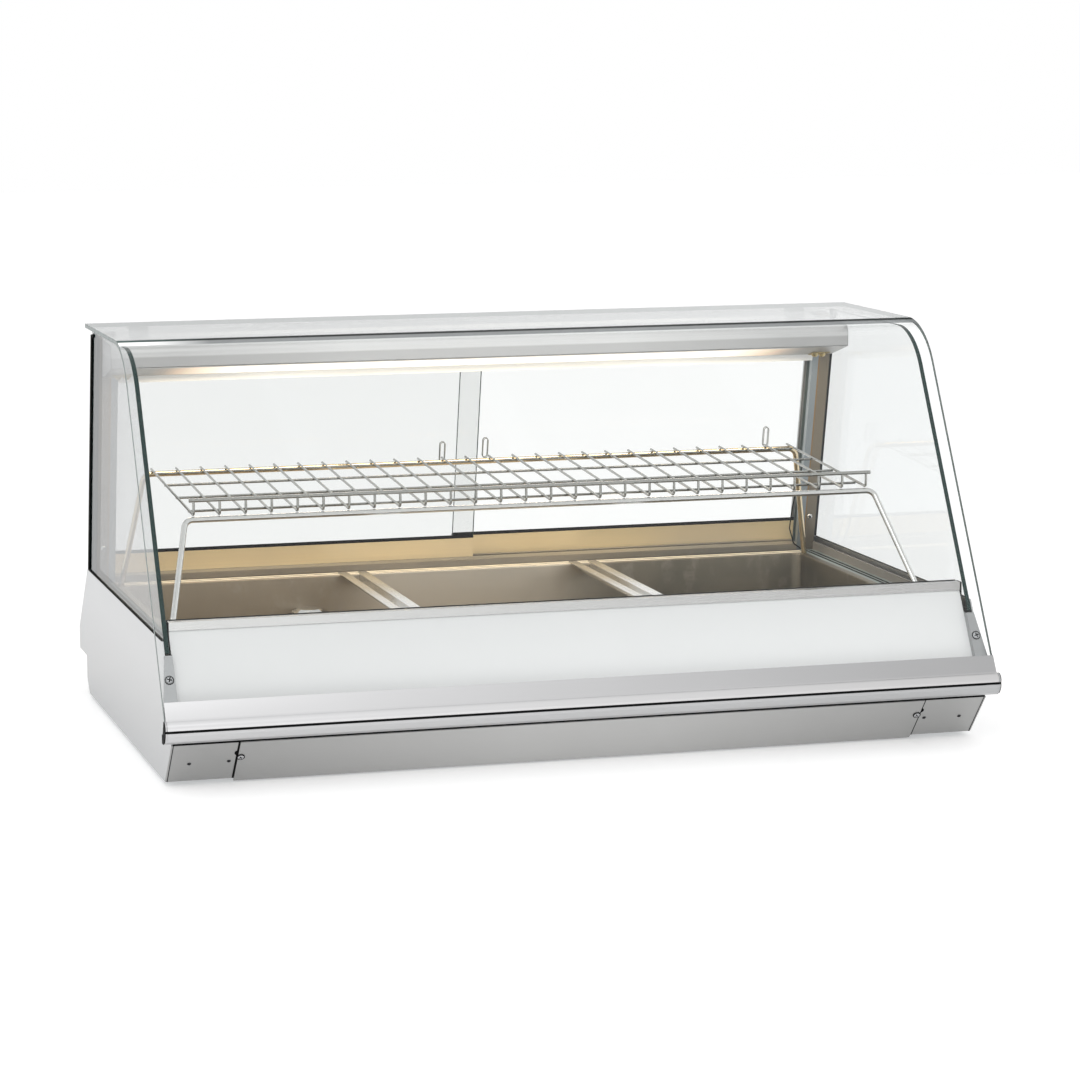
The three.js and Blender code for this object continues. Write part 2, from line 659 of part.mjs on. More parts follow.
function addWell(group) {
  const tub = (wall) => roundedRectangle(
    -wellHalf - wall, wellFront - wall, wellHalf + wall, wellRear + wall,
    well.cornerRadius + wall, well.cornerSteps,
  );
  const rimOutline = rectangle(
    -wellHalf - well.sideRim, trimFace + trim.depth - trim.wall - well.frontLap,
    wellHalf + well.sideRim, rearPlaneAt(deckHeight, -(rearFrame.front + fit))[0],
  );
  const outlet = disc(drain.boreRadius, wellFloor - cutOverrun, wellFloor + cutOverrun, drain.sides);
  const shell = cutBy(
    joined(
      alongZ(tub(sheet), wellFloor - sheet, deckHeight),
      alongZ(rimOutline, deckHeight - sheet, deckHeight),
    ),
    alongZ(tub(0), wellFloor, deckHeight + cutOverrun),
    outlet.translate(drainPlace.x, drainPlace.y, 0),
  );
  addPiece(group, "well_tank", shell, finishes.wellSteel());

  const lipX = wellHalf + sheet + fit;
  const rimX = wellHalf + well.sideRim + fit;
  const upstandX = paneInnerX - fit - ledge.upstand;
  const bottom = deckHeight - ledge.thickness;
  const stripWidth = (upstandX - rimX) / (ledge.grooveCount + 1);
  const grooves = Array.from({ length: ledge.grooveCount }, (_, i) => rimX + (i + 1) * stripWidth);
  const build = (side) => {
    const section = [
      [lipX, bottom],
      [lipX, deckHeight - ledge.lipDrop],
      [rimX, deckHeight - ledge.lipDrop],
      [rimX, deckHeight],
      ...grooves.flatMap((x) => [
        [x - ledge.groove / 2, deckHeight],
        [x - ledge.groove / 2, deckHeight - ledge.groove],
        [x + ledge.groove / 2, deckHeight - ledge.groove],
        [x + ledge.groove / 2, deckHeight],
      ]),
      [upstandX, deckHeight],
      [upstandX, upstandTop],
      [upstandX + ledge.upstand, upstandTop],
      [upstandX + ledge.upstand, seatHeight],
      [panelEndX, seatHeight],
      [panelEndX, bottom],
    ].map(([x, z]) => [side * x, z]);
    return alongY(
      section,
      glassPlaneAt(bracketTop, -flangeDepth)[0] + ledge.frontGap,
      rearPlaneAt(upstandTop, -(rearFrame.front + fit))[0],
    );
  };
  addPair(group, "side_ledge", build, finishes.aluminium);
}

function addPanBars(group) {
  const half = panBar.width / 2;
  const z = deckHeight + fit;
  const channelHalf = half - panBar.strip + sheet;
  const near = wellFront + panBar.channelClearance;
  const far = wellRear - panBar.channelClearance;
  const strip = (x0, x1) => block(
    x0, x1, wellFront - panBar.endOverlap, wellRear + panBar.endOverlap, z, z + sheet,
  );
  const outer = rectangle(-channelHalf, z - panBar.channelDepth, channelHalf, z + sheet);
  const inner = rectangle(
    -channelHalf + sheet, z - panBar.channelDepth + sheet, channelHalf - sheet, z + sheet + cutOverrun,
  );
  const bar = cutBy(
    joined(alongY(outer, near, far), strip(-half, panBar.strip - half), strip(half - panBar.strip, half)),
    alongY(inner, near - cutOverrun, far + cutOverrun),
  );
  for (const [name, side] of [["pan_bar_left", -1], ["pan_bar_right", 1]]) {
    const piece = addPiece(group, name, bar.clone(), finishes.brushedSteel());
    piece.position.x = (side * (panOpening + panBar.width)) / 2;
  }
}

// The rear wall's pieces: outlines hold [w, v] and the group leans forward with the wall.
const innerDoorFront = -door.front;
const outerDoorFront = innerDoorFront + door.rail + door.gapBetween;
const doorEndX = postInnerX + door.edgeInset;

function addRearFrame(group) {
  const slotWidth = door.tongue + 2 * track.slotPlay;
  const slots = [innerDoorFront, outerDoorFront].map((front) => front + door.rail / 2);
  const trackOutline = [
    [-rearFrame.front, 0],
    [rearFrame.back, 0],
    [rearFrame.back, track.height],
    ...[...slots].reverse().flatMap((w) => [
      [w + slotWidth / 2, track.height],
      [w + slotWidth / 2, track.floor],
      [w - slotWidth / 2, track.floor],
      [w - slotWidth / 2, track.height],
    ]),
    [-rearFrame.front, track.height],
  ];
  const railHalf = postInnerX - fit;
  addPiece(group, "door_track_lower", alongX(trackOutline, -railHalf, railHalf), finishes.aluminium());

  const channelTop = headerFoot + header.doorChannel;
  const innerFront = -rearFrame.front + header.wall;
  const innerBack = rearFrame.back - header.wall;
  const ribAt = outerDoorFront - door.gapBetween / 2;
  const headerOutline = [
    [-rearFrame.front, headerFoot],
    [innerFront, headerFoot],
    [innerFront, channelTop],
    [ribAt - header.rib / 2, channelTop],
    [ribAt - header.rib / 2, channelTop - header.ribHeight],
    [ribAt + header.rib / 2, channelTop - header.ribHeight],
    [ribAt + header.rib / 2, channelTop],
    [innerBack, channelTop],
    [innerBack, headerFoot],
    [rearFrame.back, headerFoot],
    [rearFrame.back, rearTop],
    [-rearFrame.front, rearTop],
  ];
  const chamber = rectangle(innerFront, channelTop + header.wall, innerBack, rearTop - header.wall);
  addPiece(group, "door_header", alongX(headerOutline, -railHalf, railHalf, [chamber]), finishes.aluminium());

  const play = track.slotPlay;
  const build = (side) => {
    const section = [
      [postInnerX, -rearFrame.front],
      [postOuterX, -rearFrame.front],
      [postOuterX, rearFrame.back],
      [postInnerX, rearFrame.back],
      ...[outerDoorFront, innerDoorFront].flatMap((front) => [
        [postInnerX, front + door.rail + play],
        [postInnerX + rearFrame.postChannelDepth, front + door.rail + play],
        [postInnerX + rearFrame.postChannelDepth, front - play],
        [postInnerX, front - play],
      ]),
    ].map(([x, w]) => [side * x, w]);
    return alongZ(section, 0, rearTop);
  };
  addPair(group, "rear_post", build, finishes.aluminium);
}

function addDoors(group) {
  const channelTop = headerFoot + header.doorChannel;
  const railTop = track.height + fit + door.railHeight;
  for (const [name, side, front] of [["door_left", -1, innerDoorFront], ["door_right", 1, outerDoorFront]]) {
    const middle = front + door.rail / 2;
    const slotHalf = door.glass / 2 + fit;
    const outline = [
      [middle - door.tongue / 2, track.floor + fit],
      [middle + door.tongue / 2, track.floor + fit],
      [middle + door.tongue / 2, track.height + fit],
      [front + door.rail, track.height + fit],
      [front + door.rail, railTop],
      [middle + slotHalf, railTop],
      [middle + slotHalf, railTop - door.slotDepth],
      [middle - slotHalf, railTop - door.slotDepth],
      [middle - slotHalf, railTop],
      [front, railTop],
      [front, track.height + fit],
      [middle - door.tongue / 2, track.height + fit],
    ];
    addPiece(group, name + "_rail", onSide(side, outline, -door.overlap, doorEndX), finishes.aluminium());
    const pane = rectangle(
      middle - door.glass / 2, railTop - door.slotDepth + fit,
      middle + door.glass / 2, channelTop - door.headroom,
    );
    addPiece(group, name + "_pane", onSide(side, pane, -door.overlap, doorEndX), finishes.glass());
  }
}

function addControlBox(group) {
  const line = [
    onRear(-rearFrame.front - sheet, -fit),
    controlTop,
    controlCorner,
    [backY, controlBox.underside],
    [kickY - controlBox.frontReturn, controlBox.underside],
  ];
  const panel = alongX(folded(line, -sheet), -panelEndX, panelEndX);
  const window = block(
    -rocker.width / 2 - rocker.play, rocker.width / 2 + rocker.play,
    -rocker.height / 2 - rocker.play, rocker.height / 2 + rocker.play,
    -cutOverrun, cutOverrun,
  );
  const tools = [
    disc(thermostat.bushRadius + fit, -cutOverrun, cutOverrun, screwSides).translate(knobX, 0, 0),
    ...rockerPlaces.map((x) => window.clone().translate(x, 0, 0)),
  ].map((tool) => tool.applyMatrix4(slopeMatrix));
  addPiece(group, "rear_control_panel", cutBy(panel, ...tools), finishes.brushedSteel());

  const coverTop = controlBox.underside - fit;
  const coverLine = [
    [kickY - controlBox.lowerFlange, coverTop],
    [kickY, coverTop],
    [kickY, footHeight + controlBox.chamfer],
    [kickY - controlBox.chamfer, footHeight],
  ];
  const holeAt = (x, z, radius) => disc(radius, -cutOverrun, cutOverrun, drain.sides)
    .rotateX(Math.PI / 2)
    .translate(x, kickY, z);
  const cover = cutBy(
    alongX(folded(coverLine, -sheet), -panelEndX, panelEndX),
    holeAt(drainPlace.x, drain.runZ, drain.pipeRadius + fit),
    holeAt(knobX, gland.z, gland.radius + fit),
  );
  addPiece(group, "rear_lower_cover", cover, finishes.galvanised());
}

// Frame of the sloping control panel: x to the operator's right, y up the slope, z out of it.
const slopeEnds = [controlCorner, controlTop].map((point) => new THREE.Vector3(0, ...point));
const slopeX = axisX.clone().negate();
const slopeUp = slopeEnds[1].clone().sub(slopeEnds[0]).normalize();
const slopeMatrix = new THREE.Matrix4()
  .makeBasis(slopeX, slopeUp, slopeX.clone().cross(slopeUp))
  .setPosition(slopeEnds[0].clone().lerp(slopeEnds[1], 1 / 2));
const rockerPlaces = [knobX - rocker.fromKnob, knobX - rocker.fromKnob - rocker.pitch];

function addControls(group) {
  const bushFoot = -sheet - thermostat.bushRadius;
  const body = joined(
    block(
      -thermostat.size / 2, thermostat.size / 2, -thermostat.size / 2, thermostat.size / 2,
      -sheet - fit - thermostat.depth, -sheet - fit,
    ),
    disc(thermostat.bushRadius, bushFoot, 0, screwSides),
    disc(knob.shaftRadius, bushFoot, knob.lift + knob.shaftDepth - knob.play, screwSides),
  );
  addPiece(group, "thermostat", body, finishes.plastic()).position.x = knobX;

  const skirt = turned(
    [
      [0, knob.lift],
      [knob.radius, knob.lift],
      [knob.radius * knob.taperShare, knob.lift + knob.height - knob.gripHeight],
      [0, knob.lift + knob.height - knob.gripHeight],
    ],
    knob.sides,
  );
  const grip = block(
    -knob.grip / 2, knob.grip / 2, -knob.radius * knob.taperShare, knob.radius * knob.taperShare,
    knob.lift + knob.shaftDepth / 2, knob.lift + knob.height,
  );
  const bore = disc(knob.shaftRadius + knob.play, 0, knob.lift + knob.shaftDepth, screwSides);
  const cap = cutBy(joined(skirt, grip), bore);
  addPiece(group, "thermostat_knob", cap, finishes.plastic()).position.x = knobX;

  const tilt = degrees(rocker.tiltDegrees);
  const faceHalf = rocker.height / 2 - rocker.play;
  const bow = faceHalf * Math.tan(tilt);
  const outline = [
    [-faceHalf * Math.cos(tilt), rocker.proud],
    [0, rocker.proud - bow],
    [faceHalf * Math.cos(tilt), rocker.proud],
    [faceHalf / 2, -rocker.depth],
    [-faceHalf / 2, -rocker.depth],
  ];
  const key = alongX(outline, -rocker.width / 2, rocker.width / 2);
  ["heat_switch", "lamp_switch"].forEach((name, i) => {
    const piece = addPiece(group, name, key.clone(), finishes.plastic());
    piece.position.x = rockerPlaces[i];
    piece.rotation.x = tilt;
  });
}

// An outline drawn anticlockwise, moved inwards by a wall.
function insetOutline(outline, wall) {
  const count = outline.length;
  return outline.map((point, i) => {
    const [, a] = beside(outline[(i + count - 1) % count], point, wall);
    const [b] = beside(point, outline[(i + 1) % count], wall);
    const normalA = [(a[0] - point[0]) / wall, (a[1] - point[1]) / wall];
    const normalB = [(b[0] - point[0]) / wall, (b[1] - point[1]) / wall];
    const mitre = wall / (1 + normalA[0] * normalB[0] + normalA[1] * normalB[1]);
    return [point[0] + (normalA[0] + normalB[0]) * mitre, point[1] + (normalA[1] + normalB[1]) * mitre];
  });
}

// Lamps stand one over the middle of each third of the well.
const lampPitch = (2 * wellHalf) / lampCount;
const lampPlaces = Array.from({ length: lampCount }, (_, i) => (i - (lampCount - 1) / 2) * lampPitch);
const canopyTop = rearPlaneAt(caseHeight - canopy.topRear, -(rearFrame.front + fit));
const canopyFront = canopyTop[0] - canopy.depth;
const canopyLip = [canopyFront, caseHeight - canopy.lip];
const canopySlopeEnd = [canopyFront + canopy.slopeDepth, caseHeight - canopy.slopeEnd];
const canopySlope = Math.atan2(canopyLip[1] - canopySlopeEnd[1], canopy.slopeDepth);

// Height of the canopy's sloping underside at a depth behind its front face.
function undersideAt(depth) {
  return canopyLip[1] - depth * Math.tan(canopySlope);
}

function addCanopy(group) {
  const half = halfCase - canopy.endMargin;
  const outline = [
    rearPlaneAt(caseHeight - canopy.rearEnd, -(rearFrame.front + fit)),
    canopyTop,
    ...arc(
      [canopyFront + canopy.corner, caseHeight - canopy.top - canopy.corner],
      canopy.corner, 90, 180, canopy.cornerSteps,
    ),
    canopyLip,
    canopySlopeEnd,
  ];
  const windowHalf = lamp.length / 2 + lamp.windowMargin;
  const windows = lampPlaces.map((x) => block(
    x - windowHalf, x + windowHalf, canopyFront + lampWindow.front, canopyFront + lampWindow.rear,
    canopySlopeEnd[1] - cutOverrun, canopyLip[1] + sheet,
  ));
  const shell = cutBy(
    alongX(outline, -half, half),
    alongX(insetOutline(outline, sheet), -half + sheet, half - sheet),
    ...windows,
  );
  addPiece(group, "lamp_canopy", shell, finishes.aluminium());

  const seat = sheet / Math.cos(canopySlope) + fit + reflector.sheet;
  const reflectorTop = caseHeight - reflector.depthBelowTop;
  const line = [
    [canopyFront + reflector.front, undersideAt(reflector.front) + seat],
    [canopyFront + reflector.topFront, reflectorTop],
    [canopyFront + reflector.topRear, reflectorTop],
    [canopyFront + reflector.rear, undersideAt(reflector.rear) + seat],
  ];
  const troughHalf = half - reflector.endMargin;
  const trough = alongX(folded(line, -reflector.sheet), -troughHalf, troughHalf);
  const lampY = canopyFront + lamp.depth;
  const lampZ = caseHeight - lamp.depthBelowTop;
  const end = lamp.length / 2;
  const tabAt = (x) => block(
    x - reflector.tab / 2, x + reflector.tab / 2, lampY - lamp.capRadius, lampY + lamp.capRadius,
    lampZ - lamp.capRadius, reflectorTop,
  );
  const tabOffset = end + fit + reflector.tab / 2;
  const tabs = lampPlaces.flatMap((x) => [tabAt(x - tabOffset), tabAt(x + tabOffset)]);
  addPiece(group, "lamp_reflector", joined(trough, ...tabs), finishes.aluminium());

  const capEnd = end - lamp.capLength;
  const tube = turned(
    [
      [0, -end],
      [lamp.capRadius, -end],
      [lamp.capRadius, -capEnd],
      [lamp.tubeRadius, -capEnd],
      [lamp.tubeRadius, capEnd],
      [lamp.capRadius, capEnd],
      [lamp.capRadius, end],
      [0, end],
    ],
    lamp.sides,
  ).rotateY(Math.PI / 2);
  ["lamp_left", "lamp_middle", "lamp_right"].forEach((name, i) => {
    addPiece(group, name, tube.clone(), finishes.lampGlass()).position.set(lampPlaces[i], lampY, lampZ);
  });
}

function addGlassRests(group) {
  const outer = postInnerX - glassRest.inset;
  const base = [onRear(-glassRest.front, rearTop + fit), onRear(glassRest.back, rearTop + fit)];
  const top = glassUnderside - fit;
  const outline = [base[0], base[1], [base[1][0], top], [base[0][0], top]];
  const rest = (side) => onSide(side, outline, outer - glassRest.width, outer);
  addPair(group, "glass_rest", rest, finishes.plastic);
}

// Shelf surface: the line through the centres of the rear rod and the front rod, by shares of its length.
const shelfRise = caseHeight - deckHeight;
const shelfRear = [rearOrigin[0] - shelf.rearSetback, deckHeight + shelf.rearHeightShare * shelfRise];
const shelfFront = [frontY + shelf.frontSetback, deckHeight + shelf.frontHeightShare * shelfRise];

function shelfAt(share) {
  return shelfRear.map((value, i) => value + share * (shelfFront[i] - value));
}

function addShelf(group) {
  const halfLength = halfCase - shelf.endMargin;
  const standZ = deckHeight + fit;
  const frame = (place, footX, footY) => {
    const corners = [
      new THREE.Vector3(-footX, footY, standZ),
      new THREE.Vector3(-halfLength, ...place),
      new THREE.Vector3(halfLength, ...place),
      new THREE.Vector3(footX, footY, standZ),
    ];
    const bent = rod(bentRod(corners, shelf.bendRadius, shelf.bendSteps), shelf.rodRadius, shelf.rodSides);
    return cutBy(bent, block(-bumperHalf, bumperHalf, -caseDepth, caseDepth, 0, standZ));
  };
  const front = frame(shelfFront, halfCase - shelf.frontFootMargin, wellFront + shelf.frontFootInset);
  const rear = frame(shelfRear, halfCase - shelf.rearFootMargin, wellRear - shelf.rearFootInset);
  addPiece(group, "shelf_frame_front", front, finishes.chrome());
  addPiece(group, "shelf_frame_rear", rear, finishes.chrome());

  // Cross wires rest on the rods; the long wires are welded under them, and the rail on their bent ends.
  const lift = shelf.rodRadius + grid.wireRadius + fit;
  const bendY = shelfFront[0] - shelf.rodRadius / 2;
  const railZ = shelfFront[1] + grid.railHeight;
  const rearPoint = shelfAt(-grid.rearOverhang / (shelfRear[0] - shelfFront[0]));
  const gridHalf = halfLength - grid.endMargin;
  const crossPitch = (2 * gridHalf) / (grid.crossCount - 1);
  const cross = Array.from({ length: grid.crossCount }, (_, i) => {
    const x = -gridHalf + i * crossPitch;
    const corners = [
      new THREE.Vector3(x, rearPoint[0], rearPoint[1] + lift),
      new THREE.Vector3(x, bendY, shelfFront[1] + lift),
      new THREE.Vector3(x, bendY, railZ),
    ];
    return rod(bentRod(corners, grid.bend, grid.bendSteps), grid.wireRadius, grid.sides);
  });
  const straight = (y, z, half, radius) => rod(
    [new THREE.Vector3(-half, y, z), new THREE.Vector3(half, y, z)], radius, grid.sides,
  );
  const drop = grid.wireRadius + grid.longRadius - grid.sink;
  const longWires = longWireShares.map((share) => {
    const [y, z] = shelfAt(share);
    return straight(y, z + lift - drop, gridHalf, grid.longRadius);
  });
  const rail = straight(bendY, railZ, gridHalf + grid.railOverhang, grid.railRadius);
  addPiece(group, "shelf_grid", joined(...cross, ...longWires, rail), finishes.chrome());
}

function addServices(group) {
  const underWell = wellFloor - sheet - fit;
  const runZ = underWell - element.radius;
  const runPitch = (wellRear - wellFront - 2 * element.depthMargin) / (element.runCount - 1);
  const runHalf = wellHalf - element.endMargin;
  const runEnds = Array.from({ length: element.runCount }, (_, i) => {
    const y = wellFront + element.depthMargin + i * runPitch;
    const end = i % 2 ? runHalf : -runHalf;
    return [new THREE.Vector3(end, y, runZ), new THREE.Vector3(-end, y, runZ)];
  }).flat();
  const heater = bentRod(runEnds, runPitch * element.bendShare, element.bendSteps);
  addPiece(group, "heating_element", rod(heater, element.radius, element.sides), finishes.elementSteel());

  const { x, y } = drainPlace;
  const pipe = bentRod(
    [
      new THREE.Vector3(x, y, underWell - drain.flange / 2),
      new THREE.Vector3(x, y, drain.runZ),
      new THREE.Vector3(x, kickY + fit, drain.runZ),
    ],
    drain.bend, drain.bendSteps,
  );
  const flange = disc(drain.flangeRadius, underWell - drain.flange, underWell, drain.sides);
  const socket = disc(drain.boreRadius, underWell - drain.boreDepth, underWell + cutOverrun, drain.sides);
  const outlet = cutBy(
    joined(rod(pipe, drain.pipeRadius, drain.sides), flange.translate(x, y, 0)),
    socket.translate(x, y, 0),
  );
  addPiece(group, "drain_outlet", outlet, finishes.brass());

  const tapStart = kickY + 2 * fit;
  const neckTop = tap.radius + tap.neckHeight;
  const body = joined(
    disc(tap.radius, 0, tap.length, drain.sides).rotateX(-Math.PI / 2),
    disc(tap.neckRadius, 0, neckTop, screwSides).translate(0, tap.length / 2, 0),
  );
  addPiece(group, "drain_tap", body, finishes.brass()).position.set(x, tapStart, drain.runZ);
  const hub = disc(tap.leverWidth / 2, 0, tap.leverThickness, screwSides);
  const arm = block(-tap.leverLength, 0, -tap.armWidth / 2, tap.armWidth / 2, 0, tap.leverThickness);
  addPiece(group, "drain_tap_lever", joined(hub, arm), finishes.rubber())
    .position.set(x, tapStart + tap.length / 2, drain.runZ + neckTop + fit);

  const boxFloor = footHeight + sheet;
  const boxY = wellRear - terminalBox.beforeWellRear;
  const box = block(
    knobX - terminalBox.length / 2, knobX + terminalBox.length / 2,
    boxY - terminalBox.width / 2, boxY + terminalBox.width / 2,
    boxFloor, boxFloor + terminalBox.height,
  );
  addPiece(group, "terminal_box", box, finishes.galvanised());

  const barrel = joined(
    disc(gland.radius, -gland.length / 2, gland.length / 2, drain.sides),
    disc(gland.nutRadius, fit, fit + gland.nut, gland.sides),
  );
  const inlet = cutBy(barrel, disc(gland.bore, -gland.length, gland.length, screwSides));
  addPiece(group, "power_inlet_gland", inlet.rotateX(-Math.PI / 2), finishes.plastic())
    .position.set(knobX, kickY, gland.z);
}

function addStandpipe(group) {
  const floor = wellFloor + fit;
  const top = wellFloor + standpipe.height;
  const profile = [
    [0, floor - standpipe.stemDepth],
    [standpipe.stemRadius, floor - standpipe.stemDepth],
    [standpipe.stemRadius, floor],
    [standpipe.tubeRadius, floor],
    [standpipe.tubeRadius, top - standpipe.domeHeight],
    [standpipe.domeRadius, top - standpipe.domeHeight],
    ...domeSteps.map((step) => [
      standpipe.domeRadius * step.radiusShare,
      top - standpipe.domeHeight * step.dropShare,
    ]),
    [0, top],
  ];
  const piece = addPiece(group, "overflow_standpipe", turned(profile, standpipe.sides), finishes.chrome());
  piece.position.set(drainPlace.x, drainPlace.y, 0);
}

function newGroup() {
  const group = new THREE.Group();
  displayCase.add(group);
  return group;
}

addSidePanels(displayCase);
addBase(displayCase);
addPlinth(displayCase);
addControlBox(displayCase);
addFrontPanel(displayCase);
addWell(displayCase);
addSidePanes(displayCase);
addCanopy(displayCase);
addGlassRests(displayCase);
addServices(displayCase);

const rearWall = newGroup();
rearWall.position.set(0, ...rearOrigin);
rearWall.rotation.x = rearLean;
addRearFrame(rearWall);
addDoors(rearWall);

const controls = newGroup();
controls.applyMatrix4(slopeMatrix);
addControls(controls);

const tiltingFront = newGroup();
addBumper(displayCase, tiltingFront);
addFrontGlass(tiltingFront);

addShelf(newGroup());
addPanBars(newGroup());
addStandpipe(newGroup());

export default displayCase;
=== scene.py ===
"""Dresses the heated display case: finely made pieces, finishes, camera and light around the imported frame."""

import math

import bmesh
import bpy
import numpy as np
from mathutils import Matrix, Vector


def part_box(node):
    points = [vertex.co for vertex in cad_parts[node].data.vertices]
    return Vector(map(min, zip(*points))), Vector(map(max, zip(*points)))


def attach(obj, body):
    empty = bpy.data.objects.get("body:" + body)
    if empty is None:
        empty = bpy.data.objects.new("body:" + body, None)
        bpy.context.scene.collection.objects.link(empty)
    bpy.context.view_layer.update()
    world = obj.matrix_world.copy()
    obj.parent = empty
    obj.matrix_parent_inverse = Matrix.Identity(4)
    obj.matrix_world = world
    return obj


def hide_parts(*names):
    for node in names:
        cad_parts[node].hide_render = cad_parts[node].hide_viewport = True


bl_info = {
    "name": "Heated display case",
    "version": (1, 0, 0),
    "blender": (4, 5, 0),
    "location": "View3D > Sidebar > Display case",
    "description": "Builds the visible pieces and finishes of a countertop heated display case",
    "category": "Object",
}

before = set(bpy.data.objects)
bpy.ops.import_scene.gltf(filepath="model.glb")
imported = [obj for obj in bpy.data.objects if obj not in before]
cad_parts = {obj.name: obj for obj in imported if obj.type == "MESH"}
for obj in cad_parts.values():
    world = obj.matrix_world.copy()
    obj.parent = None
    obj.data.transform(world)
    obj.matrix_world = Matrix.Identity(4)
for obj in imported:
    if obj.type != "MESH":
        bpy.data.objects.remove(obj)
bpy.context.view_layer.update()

MM = 0.001

# Sizes of the case in millimetres, as its solids have them.
HALF_CASE = 553
DECK = 170
TOP = 548
PIVOT = (-380.0, 89.0)
NOSE = 9
GLASS_HALF = 562.8
GLASS_THICK = 6
GLASS_LEAN = math.radians(30.4)
GLASS_START = (-374.5, 98.0)
BEND_RADIUS = 110
BEND_CENTRE = (-47.48, 438.0)
# Degrees round the bend between which the glass shows a painted dark reflection and a painted bright highlight.
BEND_DARK_REFLECTION = (95.5, 101.5)
BEND_GLINT = (101.5, 108.5)
PANE_INSET = 11
PANE_X = (544.7, 550.7)
REAR_LEAN = math.radians(12.2)
REAR_ORIGIN = (300.0, 168.0)
WELL_HALF = 510
WELL_Y = (-263.0, 247.0)
WELL_FLOOR = 96
WELL_RIM = (-519.7, -284.1, 519.7, 278.8)
DRAIN = (-248.0, 215.0)
PAN_BAR_X = 174.0
DOOR_REACH = 522
DOOR_OVERLAP = 14.5
DOOR_FOOT = 37.1
DOOR_HEAD = 338.36
DOOR_THICK = 4
STRIP_FOOT = 44.8
PULL_HEIGHT = 343
PULL_SIZE = (30, 7.5)
LEDGE_GROOVES = (527.3, 534.6)
BRACKET_Z = (108.5, 170.6)
POST_SCREWS = (221, 490)
PANEL_SCREWS = (-536, -180, 120, 536)
FOOT_PLACE = (480, 250)
LAMPS = (-340, 0, 340)
LAMP_LINE = (163, 496)
SLOPE_MIDDLE = (352.351, 130.544)
SLOPE_LEAN = math.radians(47.888)
PLINTH_SLOPE = np.array([-365.3, 63.0]), np.array([-313.3, 6.0])
BUMPER_HALF = 562.0
BUMPER_END = 564.2
BUMPER_FRONT = -389
KNOB_X = 330
SWITCH_X = {"heat": 220, "lamp": 175}
TAP = (-248, 347.6)
INLET = (330, 36)

# The photograph's camera: its place in metres, its turn in degrees and its lens in millimetres.
CAMERA_PLACE = (-1.31510664, -4.72161167, 0.9915133)
CAMERA_TURN = (81.37314815, 0.20316259, -15.98953533)
CAMERA_LENS = 118.7876
# Half the floor's side in metres.
FLOOR_HALF = 14.0

# A corner whose half angle is above this isn't rounded.
STRAIGHT_ENOUGH = math.radians(89.5)


# ---- Lines of the case in its side view, as [Y, Z] ----


def on_glass(s, n):
    """Point s up the straight front of the glass and n out of its outer face."""
    up = (math.sin(GLASS_LEAN), math.cos(GLASS_LEAN))
    return [GLASS_START[0] + s * up[0] - n * up[1], GLASS_START[1] + s * up[1] + n * up[0]]


def glass_at(z, n):
    """Point at height z in the plane n in front of the glass's outer face."""
    return on_glass((z - GLASS_START[1] - n * math.sin(GLASS_LEAN)) / math.cos(GLASS_LEAN), n)


def on_rear(w, v):
    """Point w out through the rear wall and v up its lean."""
    c, s = math.cos(REAR_LEAN), math.sin(REAR_LEAN)
    return [REAR_ORIGIN[0] + w * c - v * s, REAR_ORIGIN[1] + w * s + v * c]


def rear_at(z, w):
    """Point at height z in the plane w behind the rear wall's line."""
    return on_rear(w, (z - REAR_ORIGIN[1] - w * math.sin(REAR_LEAN)) / math.cos(REAR_LEAN))


def plinth_at(z):
    """Depth at which the plinth's slope has height z."""
    (y0, z0), (y1, z1) = PLINTH_SLOPE
    return y0 + (y1 - y0) * (z0 - z) / (z0 - z1)


# ---- Outlines ----


def arc(centre, radius, start, end, steps):
    """Points of a circle from one angle to another: centre + radius * (cos a, sin a), a in degrees."""
    a = np.radians(np.linspace(start, end, steps + 1))
    return np.stack([centre[0] + radius * np.cos(a), centre[1] + radius * np.sin(a)], axis=1)


def rounded(corners, radius, steps, closed=True):
    """A line, flat or in space, whose corners are arcs of a radius, or of one radius for each corner."""
    corners = np.asarray(corners, float)
    count = len(corners)
    radii = np.broadcast_to(radius, count)
    out = []
    for i, here in enumerate(corners):
        if not closed and i in (0, count - 1):
            out.append(here[None])
            continue
        back = corners[i - 1] - here
        ahead = corners[(i + 1) % count] - here
        back = back / np.linalg.norm(back)
        ahead = ahead / np.linalg.norm(ahead)
        half = math.acos(np.clip(back @ ahead, -1, 1)) / 2
        if radii[i] <= 0 or half > STRAIGHT_ENOUGH:
            out.append(here[None])
            continue
        reach = radii[i] / math.tan(half)
        centre = here + (back + ahead) / np.linalg.norm(back + ahead) * radii[i] / math.sin(half)
        t = np.linspace(0, 1, steps + 1)[:, None]
        spokes = (here + back * reach) * (1 - t) + (here + ahead * reach) * t - centre
        out.append(centre + spokes / np.linalg.norm(spokes, axis=1, keepdims=True) * radii[i])
    return np.concatenate(out)


def bent(corners, radius, steps):
    """An open line in space through rounded corners."""
    return rounded(corners, radius, steps, closed=False)


def folded(line, thickness):
    """A sheet's outline: its line, and the line moved to its left by the thickness with mitred corners."""
    line = np.asarray(line, float)
    step = np.diff(line, axis=0)
    normal = np.stack([-step[:, 1], step[:, 0]], axis=1) / np.linalg.norm(step, axis=1, keepdims=True)
    before = np.concatenate([normal[:1], normal])
    after = np.concatenate([normal, normal[-1:]])
    mitre = thickness / (1 + (before * after).sum(axis=1, keepdims=True))
    return np.concatenate([line, (line + (before + after) * mitre)[::-1]])


def rectangle(a0, b0, a1, b1):
    return np.array([[a0, b0], [a1, b0], [a1, b1], [a0, b1]], float)


